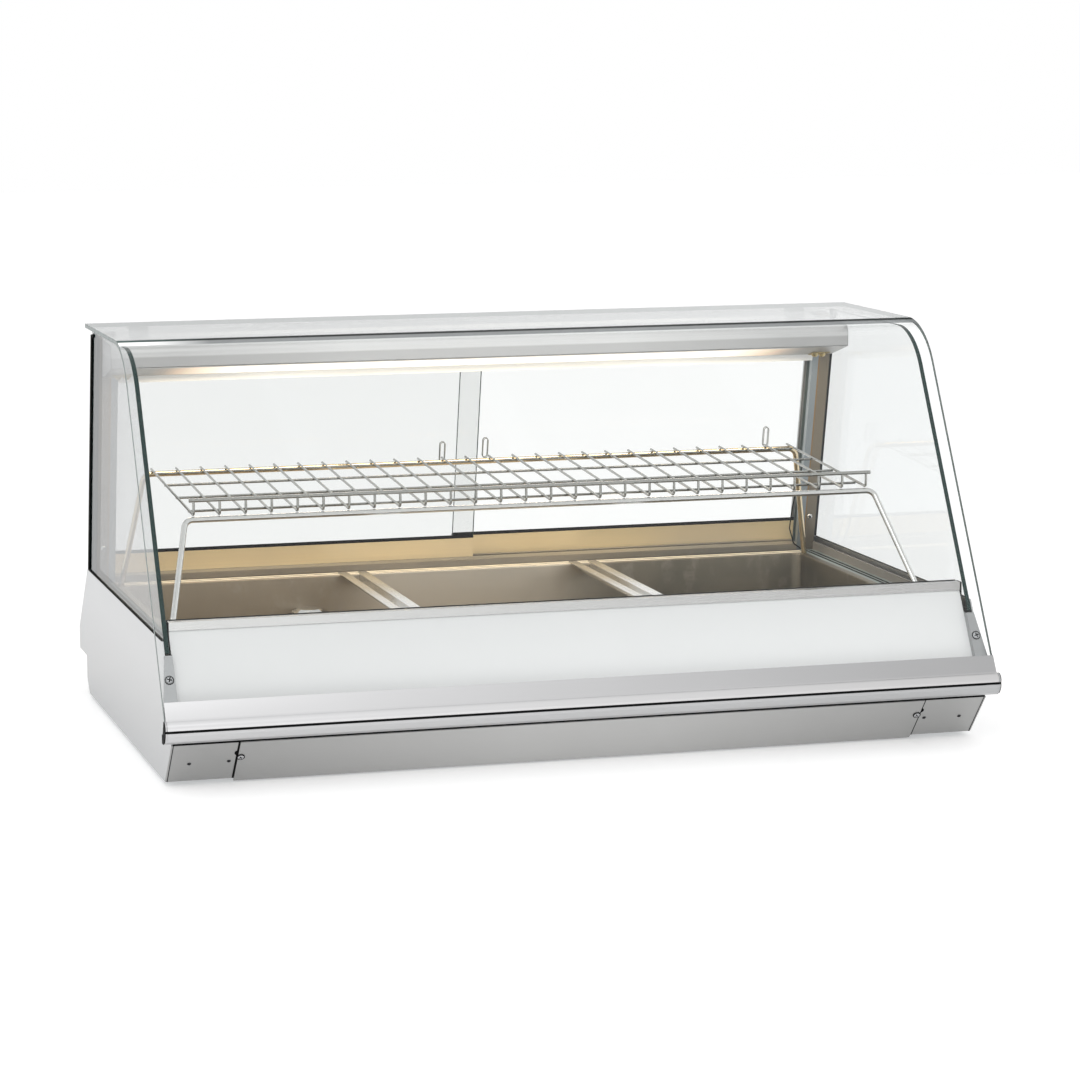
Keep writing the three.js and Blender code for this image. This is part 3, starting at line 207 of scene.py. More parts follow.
def spoke(centre, angle, near, far, half):
    """A bar's outline that points away from a centre at an angle in degrees, with half its width."""
    way = np.array([math.cos(math.radians(angle)), math.sin(math.radians(angle))])
    across = np.array([-way[1], way[0]]) * half
    near, far = near * way, far * way
    return np.array([near - across, near + across, far + across, far - across]) + centre


def stadium(centre, length, width, steps=8):
    """A slot's outline, upright: two half circles joined by straight sides."""
    reach = (length - width) / 2
    return np.concatenate([
        arc((centre[0], centre[1] + reach), width / 2, 0, 180, steps),
        arc((centre[0], centre[1] - reach), width / 2, 180, 360, steps),
    ])


# ---- Surfaces: each is a pair, points and faces ----


def lattice(rows, columns, closed=False):
    """Four-sided faces between rings of points, stored ring by ring; closed joins the last to the first."""
    a, b = np.meshgrid(np.arange(rows if closed else rows - 1), np.arange(columns), indexing="ij")
    a1, b1 = (a + 1) % rows, (b + 1) % columns
    corners = [a * columns + b, a * columns + b1, a1 * columns + b1, a1 * columns + b]
    return np.stack(corners, axis=-1).reshape(-1, 4).tolist()


def skin(rings, columns):
    """Faces of a body made of rings: those between its rings, and its two flat ends."""
    last = (rings - 1) * columns
    return lattice(rings, columns) + [list(range(columns))[::-1], list(range(last, last + columns))]


def placed(outline, plane, where):
    """An outline's points in space: plane names the two axes it lies in, where is its place on the third."""
    outline = np.asarray(outline, float)
    axes = ["xyz".index(letter) for letter in plane]
    points = np.empty((len(outline), 3))
    points[:, axes[0]] = outline[:, 0]
    points[:, axes[1]] = outline[:, 1]
    points[:, 3 - sum(axes)] = where
    return points


def area_sign(outline):
    """Twice the outline's area, positive when it runs anticlockwise."""
    x, y = np.asarray(outline, float).T
    return (x * np.roll(y, -1) - y * np.roll(x, -1)).sum()


def prism(outline, low, high, plane="yz"):
    """An outline carried straight from low to high along the third axis, with flat ends."""
    outline = np.asarray(outline, float)
    if area_sign(outline) * (-1 if plane == "xz" else 1) < 0:
        outline = outline[::-1]
    return np.concatenate([placed(outline, plane, where) for where in (low, high)]), skin(2, len(outline))


def collar(outer, inner, low, high):
    """The space between two outlines of as many points, carried straight from low to high along Z."""
    rings = [(outer, low), (outer, high), (inner, high), (inner, low)]
    points = np.concatenate([placed(ring, "xy", where) for ring, where in rings])
    return points, lattice(4, len(outer), closed=True)


def frames(path):
    """Two unit vectors square to a path at each point: one in its bend, one square to the bend's plane."""
    tangent = np.gradient(path, axis=0)
    tangent /= np.linalg.norm(tangent, axis=1, keepdims=True)
    bend = np.cross(path[1:-1] - path[:-2], path[2:] - path[1:-1])
    normal = bend[np.argmax(np.linalg.norm(bend, axis=1))]
    if np.linalg.norm(normal) < 1e-9:
        normal = np.cross(tangent[0], np.eye(3)[np.argmin(np.abs(tangent[0]))])
    side = np.cross(tangent, normal / np.linalg.norm(normal))
    side /= np.linalg.norm(side, axis=1, keepdims=True)
    return side, np.cross(side, tangent)


def tube(path, radius, sides):
    """A round rod: path(t) + radius * (cos a * side(t) + sin a * other(t)), with flat ends."""
    path = np.asarray(path, float)
    side, other = frames(path)
    a = np.arange(sides) * 2 * math.pi / sides
    ring = side[:, None] * np.cos(a)[None, :, None] + other[:, None] * np.sin(a)[None, :, None]
    return (path[:, None] + radius * ring).reshape(-1, 3), skin(len(path), sides)


def crossbar(half, y, z, radius, sides):
    """A straight rod along X from one side of the case to the other."""
    return tube([(-half, y, z), (0, y, z), (half, y, z)], radius, sides)


def square_to(axis):
    """A unit axis and two unit vectors square to it."""
    axis = np.asarray(axis, float) / np.linalg.norm(axis)
    u = np.cross(axis, np.eye(3)[np.argmin(np.abs(axis))])
    u /= np.linalg.norm(u)
    return axis, u, np.cross(axis, u)


def turned(profile, centre, axis=(0, 0, 1), sides=40):
    """A profile of (radius, height) turned about an axis: centre + h * axis + r * (cos a * u + sin a * v)."""
    profile = np.asarray(profile, float)
    axis, u, v = square_to(axis)
    a = np.arange(sides) * 2 * math.pi / sides
    ring = np.cos(a)[:, None] * u + np.sin(a)[:, None] * v
    radius = np.maximum(profile[:, 0], 0.01)
    along = profile[:, 1][:, None, None] * axis
    points = np.asarray(centre, float) + along + radius[:, None, None] * ring
    return points.reshape(-1, 3), skin(len(profile), sides)


def filled(profile):
    """A turned profile closed to its axis at both ends."""
    return [(0.1, profile[0][1]), *profile, (0.1, profile[-1][1])]


def cross_head(centre, axis, radius, height, turn):
    """A screw's domed head with a cross sunk in it, over radius r and angle a.

    The dome's height is h * (1 - 0.9 * (r / R) ** 4), less a recess where |x| or |y| is under the slot's
    half width and the distance from the middle is under the slot's reach.
    """
    rings, sides = 22, 72
    centre = np.asarray(centre, float)
    axis, u, v = square_to(axis)
    r = radius * np.linspace(0.01, 1, rings)[:, None]
    a = np.arange(sides)[None] * 2 * math.pi / sides
    x, y = r * np.cos(a), r * np.sin(a)
    a = a + math.radians(turn)
    dome = height * (1 - (r / radius) ** 4 * 0.9)
    arm = np.maximum(0, 1 - np.minimum(np.abs(x), np.abs(y)) / (0.16 * radius))
    reach = np.clip((0.66 * radius - np.maximum(np.abs(x), np.abs(y))) / (0.1 * radius), 0, 1)
    sunk = np.minimum(1, arm * 2.4) * reach
    top = dome - 0.75 * height * sunk
    spokes = np.cos(a)[..., None] * u + np.sin(a)[..., None] * v
    points = centre + top[..., None] * axis + r[..., None] * spokes
    points = np.concatenate([points.reshape(-1, 3), (centre + radius * spokes).reshape(-1, 3)])
    last = rings * sides
    faces = lattice(rings + 1, sides)
    faces = [list(range(sides))[::-1]] + [f[::-1] for f in faces] + [list(range(last, last + sides))[::-1]]
    # Faces deep in the cross take the second finish, which the screws give as near-black painted shade.
    middle = (sunk[:-1] + sunk[1:] > 1).astype(int)
    picks = np.concatenate([[1], middle.ravel(), np.ones(sides, int), [0]])
    return (points, faces), picks.tolist()


class Piece:
    """Gathers surfaces, each in one of the piece's finishes, into one object that rides on a body."""

    def __init__(self, name, *keys):
        self.name = name
        self.finishes = [finish_of(key) for key in keys]
        self.points = []
        self.faces = []
        self.picks = []
        self.count = 0

    def add(self, surface, pick=0):
        points, faces = surface
        self.points.append(np.asarray(points, float))
        self.faces += [[i + self.count for i in face] for face in faces]
        self.picks += list(pick) if np.ndim(pick) else [pick] * len(faces)
        self.count += len(points)
        return self

    def pair(self, surface):
        """Adds a surface and its twin on the other side of the case."""
        return self.add(surface).add(mirrored(surface))

    def finish(self, body, slot, replaces=(), bevel=0.0):
        mesh = bpy.data.meshes.new(self.name)
        mesh.from_pydata((np.concatenate(self.points) * MM).tolist(), [], self.faces)
        for finish in self.finishes:
            mesh.materials.append(finish)
        mesh.polygons.foreach_set("material_index", np.array(self.picks, dtype=np.int32))
        mesh.polygons.foreach_set("use_smooth", np.ones(len(mesh.polygons), dtype=bool))
        mesh.update()
        mesh.validate()
        face_outwards(mesh)
        mesh.set_sharp_from_angle(angle=math.radians(35))
        piece = linked(self.name, mesh)
        if bevel:
            edge = piece.modifiers.new("edges", "BEVEL")
            edge.width = bevel * MM
            edge.segments = 2
            edge.limit_method = "ANGLE"
            edge.angle_limit = math.radians(40)
            edge.harden_normals = True
        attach(piece, body)
        if replaces:
            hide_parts(*replaces)


def linked(name, data):
    """A new object in the scene."""
    made = bpy.data.objects.new(name, data)
    bpy.context.scene.collection.objects.link(made)
    return made


def face_outwards(mesh):
    """Turns every face of a closed surface outwards."""
    work = bmesh.new()
    work.from_mesh(mesh)
    bmesh.ops.recalc_face_normals(work, faces=work.faces)
    work.to_mesh(mesh)
    work.free()


# ---- Finishes ----


class Field:
    """A number or colour that varies over a surface, written in Python sums."""

    def __init__(self, tree, socket):
        self.tree = tree
        self.socket = socket

    def sum(self, operation, *values):
        return self.tree.node("ShaderNodeMath", {"operation": operation}, dict(enumerate(values)))

    def __add__(self, other):
        return self.sum("ADD", self, other)

    def __sub__(self, other):
        return self.sum("SUBTRACT", self, other)

    def __rsub__(self, other):
        return self.sum("SUBTRACT", other, self)

    def __mul__(self, other):
        return self.sum("MULTIPLY", self, other)

    def __abs__(self):
        return self.sum("ABSOLUTE", self)

    def ramp(self, low, high):
        """0 below low, 1 above high and straight between."""
        inputs = {"Value": self, "From Min": low, "From Max": high}
        return self.tree.node("ShaderNodeMapRange", {"clamp": True}, inputs)


class Tree:
    """A node tree that is built from Python."""

    def __init__(self, tree):
        self.tree = tree
        tree.nodes.clear()

    def node(self, kind, settings=None, inputs=None, output=0):
        """Makes a node: its settings first, then the values or links of its sockets."""
        made = self.tree.nodes.new(kind)
        for key, value in (settings or {}).items():
            setattr(made, key, value)
        for key, value in (inputs or {}).items():
            socket = made.inputs[key]
            if isinstance(value, Field):
                self.tree.links.new(value.socket, socket)
            elif socket.type == "RGBA":
                socket.default_value = (*value[:3], 1)
            else:
                socket.default_value = value
        return Field(self, made.outputs[output]) if made.outputs else None


class Coat(Tree):
    """One finish's node tree."""

    def __init__(self, name):
        self.material = bpy.data.materials.new(name)
        self.material.use_nodes = True
        super().__init__(self.material.node_tree)
        self.place = self.node("ShaderNodeTexCoord", output="Object")

    def axis(self, letter):
        return self.node("ShaderNodeSeparateXYZ", None, {0: self.place}, letter)

    def noise(self, size, detail, stretch=(1, 1, 1), roughness=0.55, seed=0.0):
        """Noise from 0 to 1 whose features are about a size in millimetres, drawn out along an axis."""
        scale = tuple(1000 / size / s for s in stretch)
        inputs = {"Vector": self.place, "Scale": scale, "Location": (seed,) * 3}
        place = self.node("ShaderNodeMapping", None, inputs)
        inputs = {"Vector": place, "Scale": 1.0, "Detail": detail, "Roughness": roughness}
        return self.node("ShaderNodeTexNoise", None, inputs, "Fac")

    def die_lines(self, stretch=(400, 1, 1)):
        """The fine lines that a die leaves along a section."""
        return self.noise(0.9, 2.0, stretch, 0.7)

    def mix(self, factor, first, second):
        """A colour between two colours."""
        settings = {"data_type": "RGBA", "clamp_factor": True}
        return self.node("ShaderNodeMix", settings, {0: factor, 6: first, 7: second}, 2)

    def tint(self, factor, colour, spread):
        """A colour made darker and lighter by a spread as the factor goes from 0 to 1."""
        low = tuple(c * (1 - spread) for c in colour)
        high = tuple(min(1.0, c * (1 + spread)) for c in colour)
        return self.mix(factor, low, high)

    def bump(self, height, depth):
        return self.node("ShaderNodeBump", None, {"Height": height, "Distance": depth * MM}, "Normal")

    def surface(self, **inputs):
        """The shader itself; names of its sockets are given with underscores."""
        inputs = {name.replace("_", " "): value for name, value in inputs.items()}
        return self.node("ShaderNodeBsdfPrincipled", None, inputs)

    def coated(self, colour, roughness, relief, depth, **more):
        """The finished material: colour, roughness, a relief of a depth in millimetres, and other inputs."""
        shader = self.surface(Base_Color=colour, Roughness=roughness, Normal=self.bump(relief, depth), **more)
        return self.done(shader)

    def seen_through(self, share, clear, shader):
        """The finished material: a share of the shader over clear glass."""
        through = self.node("ShaderNodeBsdfTransparent", None, {"Color": clear})
        return self.done(self.node("ShaderNodeMixShader", None, {0: share, 1: through, 2: shader}), True)

    def done(self, shader, alpha=False):
        self.node("ShaderNodeOutputMaterial", None, {"Surface": shader})
        if alpha:
            self.material.surface_render_method = "BLENDED"
        return self.material


def linear(*srgb):
    """A colour given as 0 to 255 screen values, as the linear values that shaders take."""
    c = np.asarray(srgb, float) / 255
    return tuple(np.where(c <= 0.04045, c / 12.92, ((c + 0.055) / 1.055) ** 2.4).tolist())


PANE_TONE = (174, 176, 178)
BLACK = (0.0, 0.0, 0.0)
WHITE = (1.0, 1.0, 1.0)
CLEAR = (0.992, 0.997, 0.996)


def brushed_metal(name, colour, grain, rough, spread):
    """Rolled or brushed metal: fine scratches along one way, soft clouds in colour and gloss."""
    coat = Coat(name)
    scratches = coat.noise(1.1, 4.0, grain, 0.6)
    streaks = coat.noise(7.0, 2.0, tuple(g * 1.6 if g > 1 else 1 for g in grain), 0.5, 4.0)
    clouds = coat.noise(90.0, 3.0, seed=9.0)
    colour = coat.tint(scratches * 0.35 + streaks * 0.3 + clouds * 0.35, linear(*colour), spread)
    gloss = scratches * 0.16 + clouds * 0.08 + (rough - 0.12)
    return coat.coated(colour, gloss, scratches, 0.012, Metallic=1.0)


def powder_coat(name, colour, foot, head):
    """White stove enamel with a fine orange peel; towards its foot, and most at the right, it glows with
    painted light from below.
    """
    coat = Coat(name)
    peel = coat.noise(2.6, 2.0)
    clouds = coat.noise(160.0, 2.0, seed=5.0)
    painted_underglow = (1 - coat.axis("Z").ramp(foot, head)) * (coat.axis("X").ramp(-0.5, 0.0) * 0.6 + 0.4)
    return coat.coated(
        coat.tint(clouds, linear(*colour), 0.018), peel * 0.06 + 0.28, peel, 0.02,
        Coat_Weight=0.35, Coat_Roughness=0.12,
        Emission_Color=coat.mix(painted_underglow, BLACK, WHITE), Emission_Strength=0.2,
    )


def moulded(name, colour, rough, grain=1.2, depth=0.03, shine=0.5):
    """Moulded plastic or rubber with a fine spark-eroded grain."""
    coat = Coat(name)
    sparks = coat.noise(grain, 4.0)
    clouds = coat.noise(30.0, 2.0, seed=3.0)
    colour = coat.tint(clouds * 0.6 + sparks * 0.4, linear(*colour), 0.22)
    return coat.coated(colour, sparks * 0.18 + (rough - 0.09), sparks, depth, Specular_IOR_Level=shine)


def galvanised(name, colour):
    """Zinc-coated sheet: flat spangles of slightly different grey."""
    coat = Coat(name)
    place = coat.node("ShaderNodeMapping", None, {"Vector": coat.place, "Scale": (70, 70, 70)})
    cells = coat.node("ShaderNodeTexVoronoi", {"feature": "F1"}, {"Vector": place, "Scale": 1.0}, "Color")
    grey = coat.node("ShaderNodeRGBToBW", None, {0: cells})
    fine = coat.noise(1.5, 3.0)
    colour = coat.tint(grey * 0.8 + fine * 0.2, linear(*colour), 0.16)
    return coat.coated(colour, grey * 0.2 + 0.34, fine, 0.01, Metallic=0.95)


def clear_glass(name, left=PANE_TONE, right=PANE_TONE, body=0.012, clear=CLEAR):
    """Toughened glass: mostly see-through, a mirror at grazing angles, with faint wiping marks.

    The share of light that it mirrors is 0.02 + 0.98 * f ** 5, f being 0 face on and 1 edge on. Its mirror's
    tone goes from left to right over the case's length, a painted reflection where the two differ.
    """
    coat = Coat(name)
    marks = coat.noise(55.0, 4.0, (1, 3, 1))
    facing = coat.node("ShaderNodeLayerWeight", None, {"Blend": 0.5}, "Facing")
    mirror = facing.sum("POWER", facing, 5.0) * 0.98 + 0.02
    tone = coat.mix(coat.axis("X").ramp(-0.45, 0.55), linear(*left), linear(*right))
    film = coat.surface(Base_Color=tone, Metallic=1.0, Roughness=marks * 0.05 + 0.02)
    return coat.seen_through(mirror + marks * body, clear, film)


def edge_glass(name, colour, rough=0.22):
    """The ground edge of a thick pane, deep green along its length."""
    coat = Coat(name)
    grind = coat.noise(2.2, 3.0, (1, 1, 6))
    colour = coat.tint(grind, linear(*colour), 0.25)
    return coat.coated(colour, grind * 0.12 + rough, grind, 0.02, Specular_IOR_Level=0.25)


def bend_band(name, low_colour, high_colour, cover, glow=0.0):
    """Painted light and shade along the glass's bend: bright at the left end and grey from there on."""
    coat = Coat(name)
    wave = coat.noise(70.0, 2.0, (6, 1, 1))
    along = (coat.axis("X") + wave * 0.04).ramp(-0.52, -0.42)
    band = coat.surface(
        Base_Color=coat.mix(along, linear(*low_colour), linear(*high_colour)),
        Roughness=wave * 0.2 + 0.45,
        Specular_IOR_Level=0.05,
        Emission_Color=coat.mix(along, WHITE, BLACK),
        Emission_Strength=glow,
    )
    return coat.seen_through(wave * 0.1 + cover, CLEAR, band)


def shaded_satin(name, dark, light, middle, reach, axis, rough, metal=0.85, fade=None):
    """Satin section with painted shade: its tone goes from dark to light over a reach about a middle on one
    axis, in metres.

    A fade is the two distances from the case's middle between which painted shade makes it a quarter darker.
    """
    coat = Coat(name)
    lines = coat.die_lines()
    clouds = coat.noise(120.0, 2.0, (3, 1, 1), seed=2.0)
    share = (coat.axis(axis) + clouds * reach * 0.5 - reach * 0.25).ramp(middle - reach, middle + reach)
    shade_and_grain = coat.mix(lines * 0.08, coat.mix(share, linear(*dark), linear(*light)), WHITE)
    if fade:
        shade_and_grain = coat.mix(abs(coat.axis("X")).ramp(*fade) * 0.25, shade_and_grain, BLACK)
    return coat.coated(shade_and_grain, lines * 0.1 + clouds * 0.06 + (rough - 0.08), lines, 0.01, Metallic=metal)


def rear_depth(coat):
    """Distance behind the rear wall's line, in metres."""
    y, z = coat.axis("Y") - REAR_ORIGIN[0] * MM, coat.axis("Z") - REAR_ORIGIN[1] * MM
    return y * math.cos(REAR_LEAN) + z * math.sin(REAR_LEAN)


def header_metal(name):
    """Door header: pale satin metal whose front glows with painted lamp light, most of it in the middle."""
    coat = Coat(name)
    lines = coat.die_lines()
    clouds = coat.noise(140.0, 2.0, (3, 1, 1), seed=2.0)
    lit = (1 - abs(coat.axis("X")).ramp(0.3, 0.5)) * (1 - rear_depth(coat).ramp(-0.002, 0.002))
    return coat.coated(
        coat.mix(clouds, linear(226, 226, 224), linear(236, 236, 235)), lines * 0.1 + 0.4, lines, 0.01,
        Metallic=0.35,
        Emission_Color=coat.mix(lit * (clouds * 0.3 + 0.7), BLACK, (1.0, 0.93, 0.8)), Emission_Strength=0.55,
    )


def hinge_metal(name):
    """Glass's turning profile with painted shade: a flat face that goes from pale to grey along X, over a paler
    rounded nose.
    """
    coat = Coat(name)
    lines = coat.die_lines()
    clouds = coat.noise(150.0, 2.0, (3, 1, 1), seed=2.0)
    along = (coat.axis("X") + clouds * 0.3 - 0.15).ramp(-0.5, 0.7)
    flat = coat.mix(along, linear(222, 222, 223), linear(164, 164, 165))
    nose = coat.mix(along, linear(222, 222, 223), linear(200, 199, 199))
    colour = coat.mix(coat.axis("Z").ramp(0.096, 0.1), nose, flat)
    return coat.coated(colour, lines * 0.1 + 0.26, lines, 0.01, Metallic=0.85)


def post_metal(name):
    """Rear post: pale inner strip, a bronze line of painted warm reflection and a brown outer strip that ends
    in a dark line; painted shade darkens its side and painted light brightens it behind the wall's line.
    """
    coat = Coat(name)
    lines = coat.die_lines((1, 60, 60))
    clouds = coat.noise(60.0, 2.0, (1, 1, 3), seed=3.0)
    x = abs(coat.axis("X"))

    def clouded(low, high):
        return coat.mix(clouds, linear(*low), linear(*high))

    inner = x.ramp(0.5262, 0.5268)
    brown = clouded((112, 104, 90), (134, 126, 112))
    colour = coat.mix(inner, clouded((122, 132, 138), (148, 156, 162)), linear(140, 112, 74))
    colour = coat.mix(x.ramp(0.5282, 0.5288), colour, brown)
    colour = coat.mix(x.ramp(0.5432, 0.5436), colour, linear(58, 62, 62))
    depth = rear_depth(coat)
    shaded = clouded((92, 106, 108), (110, 122, 124))
    colour = coat.mix(depth.ramp(-0.0125, -0.0115) * (1 - inner), colour, shaded)
    colour = coat.mix(depth.ramp(0.007, 0.009), colour, clouded((158, 160, 162), (182, 184, 186)))
    return coat.coated(colour, lines * 0.12 + 0.34, lines, 0.01, Metallic=0.35)


def chrome_wire(name, colour):
    """Bright-plated steel wire with a slight wave in its plating."""
    coat = Coat(name)
    wave = coat.noise(6.0, 3.0)
    specks = coat.noise(1.4, 2.0, seed=2.0)
    colour = coat.tint(wave, linear(*colour), 0.08)
    roughness = wave * 0.08 + specks * 0.06 + 0.1
    return coat.coated(colour, roughness, wave * 0.6 + specks * 0.4, 0.02, Metallic=1.0)


def glowing(name, colour, strength):
    """A lit lamp's frosted glass: warm light, brighter where the frosting is thin."""
    coat = Coat(name)
    frost = coat.noise(3.0, 3.0)
    glow = coat.tint(frost, linear(*colour), 0.06)
    return coat.done(coat.surface(
        Base_Color=glow, Roughness=frost * 0.1 + 0.2, Emission_Color=glow, Emission_Strength=strength
    ))


def lamp_window(name):
    """The canopy's long diffuser: cream with a rib every 6 mm, orange and dying away towards its ends."""
    coat = Coat(name)
    x = abs(coat.axis("X"))
    ribs = coat.node("ShaderNodeMath", {"operation": "PINGPONG"}, {0: coat.axis("X") + 10, 1: 0.003}) * 300
    frost = coat.noise(8.0, 3.0)
    cream = coat.mix(frost * 0.7 + ribs * 0.3, (1.0, 0.89, 0.72), (1.0, 0.95, 0.85))
    warm = coat.mix(x.ramp(0.36, 0.45), cream, (1.0, 0.74, 0.52))
    return coat.coated(
        coat.mix(x.ramp(0.42, 0.48), warm, linear(178, 176, 172)), frost * 0.2 + 0.35, ribs, 0.2,
        Emission_Color=coat.mix(x.ramp(0.35, 0.46), warm, BLACK), Emission_Strength=1.05,
    )


def tank_steel(name):
    """The well's deep-drawn stainless steel: warm, with drawing lines, soft clouds and water marks, and painted
    shade that is light in the middle well and dark in the right one.
    """
    coat = Coat(name)
    lines = coat.noise(1.6, 3.0, (90, 90, 1))
    clouds = coat.noise(120.0, 4.0, seed=11.0)
    marks = coat.noise(22.0, 4.0, (1, 1, 1.6), 0.7, 6.0).ramp(0.52, 0.75)
    middle = 1 - abs(coat.axis("X")).ramp(0.12, 0.22)
    warm = coat.mix(coat.axis("X").ramp(-0.1, 0.3), linear(142, 130, 114), linear(82, 82, 75))
    warm = coat.mix(middle * 0.8, warm, linear(208, 201, 190))
    shade_and_grain = coat.mix(clouds * 0.4 + lines * 0.15, warm, linear(196, 182, 158))
    roughness = clouds * 0.12 + marks * 0.08 + lines * 0.06 + 0.34
    colour = coat.mix(marks * 0.25, shade_and_grain, linear(206, 198, 184))
    return coat.coated(colour, roughness, lines * 0.5 + clouds * 0.5, 0.03, Metallic=1.0)


def warm_rail(name, colour, cool, metal, turn=1.0, glow=0.0):
    """Door rail and track sections: extrusion lines, painted warm lamp light and glow on the lamps' side, and
    grey behind a depth.
    """
    coat = Coat(name)
    lines = coat.die_lines()
    bands = coat.noise(3.4, 1.0, (300, 1, 1), 0.5, 3.0)
    # Soft pools of painted lamp light between the cool and the warm colour.
    lamp = coat.noise(260.0, 1.0, (1, 1, 1), 0.4, 1.3)
    base = coat.mix(lamp.ramp(0.35, 0.65), linear(*cool), linear(*colour))
    front = 1 - rear_depth(coat).ramp(turn - 0.001, turn + 0.001)
    shade = coat.mix(front, linear(186, 187, 188), base)
    dark = coat.node("ShaderNodeVectorMath", {"operation": "SCALE"}, {0: shade, "Scale": 1 - bands * 0.1})
    return coat.coated(
        dark, lines * 0.1 + bands * 0.08 + 0.26, lines, 0.01,
        Metallic=metal, Emission_Color=coat.mix(front, BLACK, base), Emission_Strength=glow,
    )


def ledge_metal(name):
    """Ledge beside the well: a bright lip along the well that glows with painted light, grey-green behind it.
    """
    coat = Coat(name)
    lines = coat.die_lines((1, 400, 1))
    clouds = coat.noise(90.0, 2.0, (1, 3, 1), seed=2.0)
    x = abs(coat.axis("X"))
    grey = coat.mix(clouds, linear(128, 140, 138), linear(148, 158, 156))
    grey = coat.mix(x.ramp(0.5414, 0.5418), grey, linear(140, 136, 130))
    behind = x.ramp(0.5198, 0.5202)
    return coat.coated(
        coat.mix(behind, linear(232, 230, 224), grey), lines * 0.12 + 0.34, lines, 0.01,
        Specular_IOR_Level=0.15,
        Emission_Color=coat.mix(behind, (1.0, 0.99, 0.95), BLACK), Emission_Strength=0.18,
    )


def screw_head(name, colour):
    """Zinc-plated screw: turning marks round its head and dark dirt specks."""
    coat = Coat(name)
    rings = coat.noise(1.2, 3.0)
    specks = coat.noise(0.6, 2.0, seed=4.0).ramp(0.6, 0.8)
    colour = coat.mix(specks * 0.5, linear(*colour), linear(40, 40, 42))
    return coat.coated(colour, rings * 0.14 + 0.3, rings, 0.02, Metallic=0.9)


def screen(name):
    """One of the user's colours as 0 to 255 screen values."""
    return tuple(round(255 * c) for c in getattr(bpy.context.scene.display_case_colours, name))


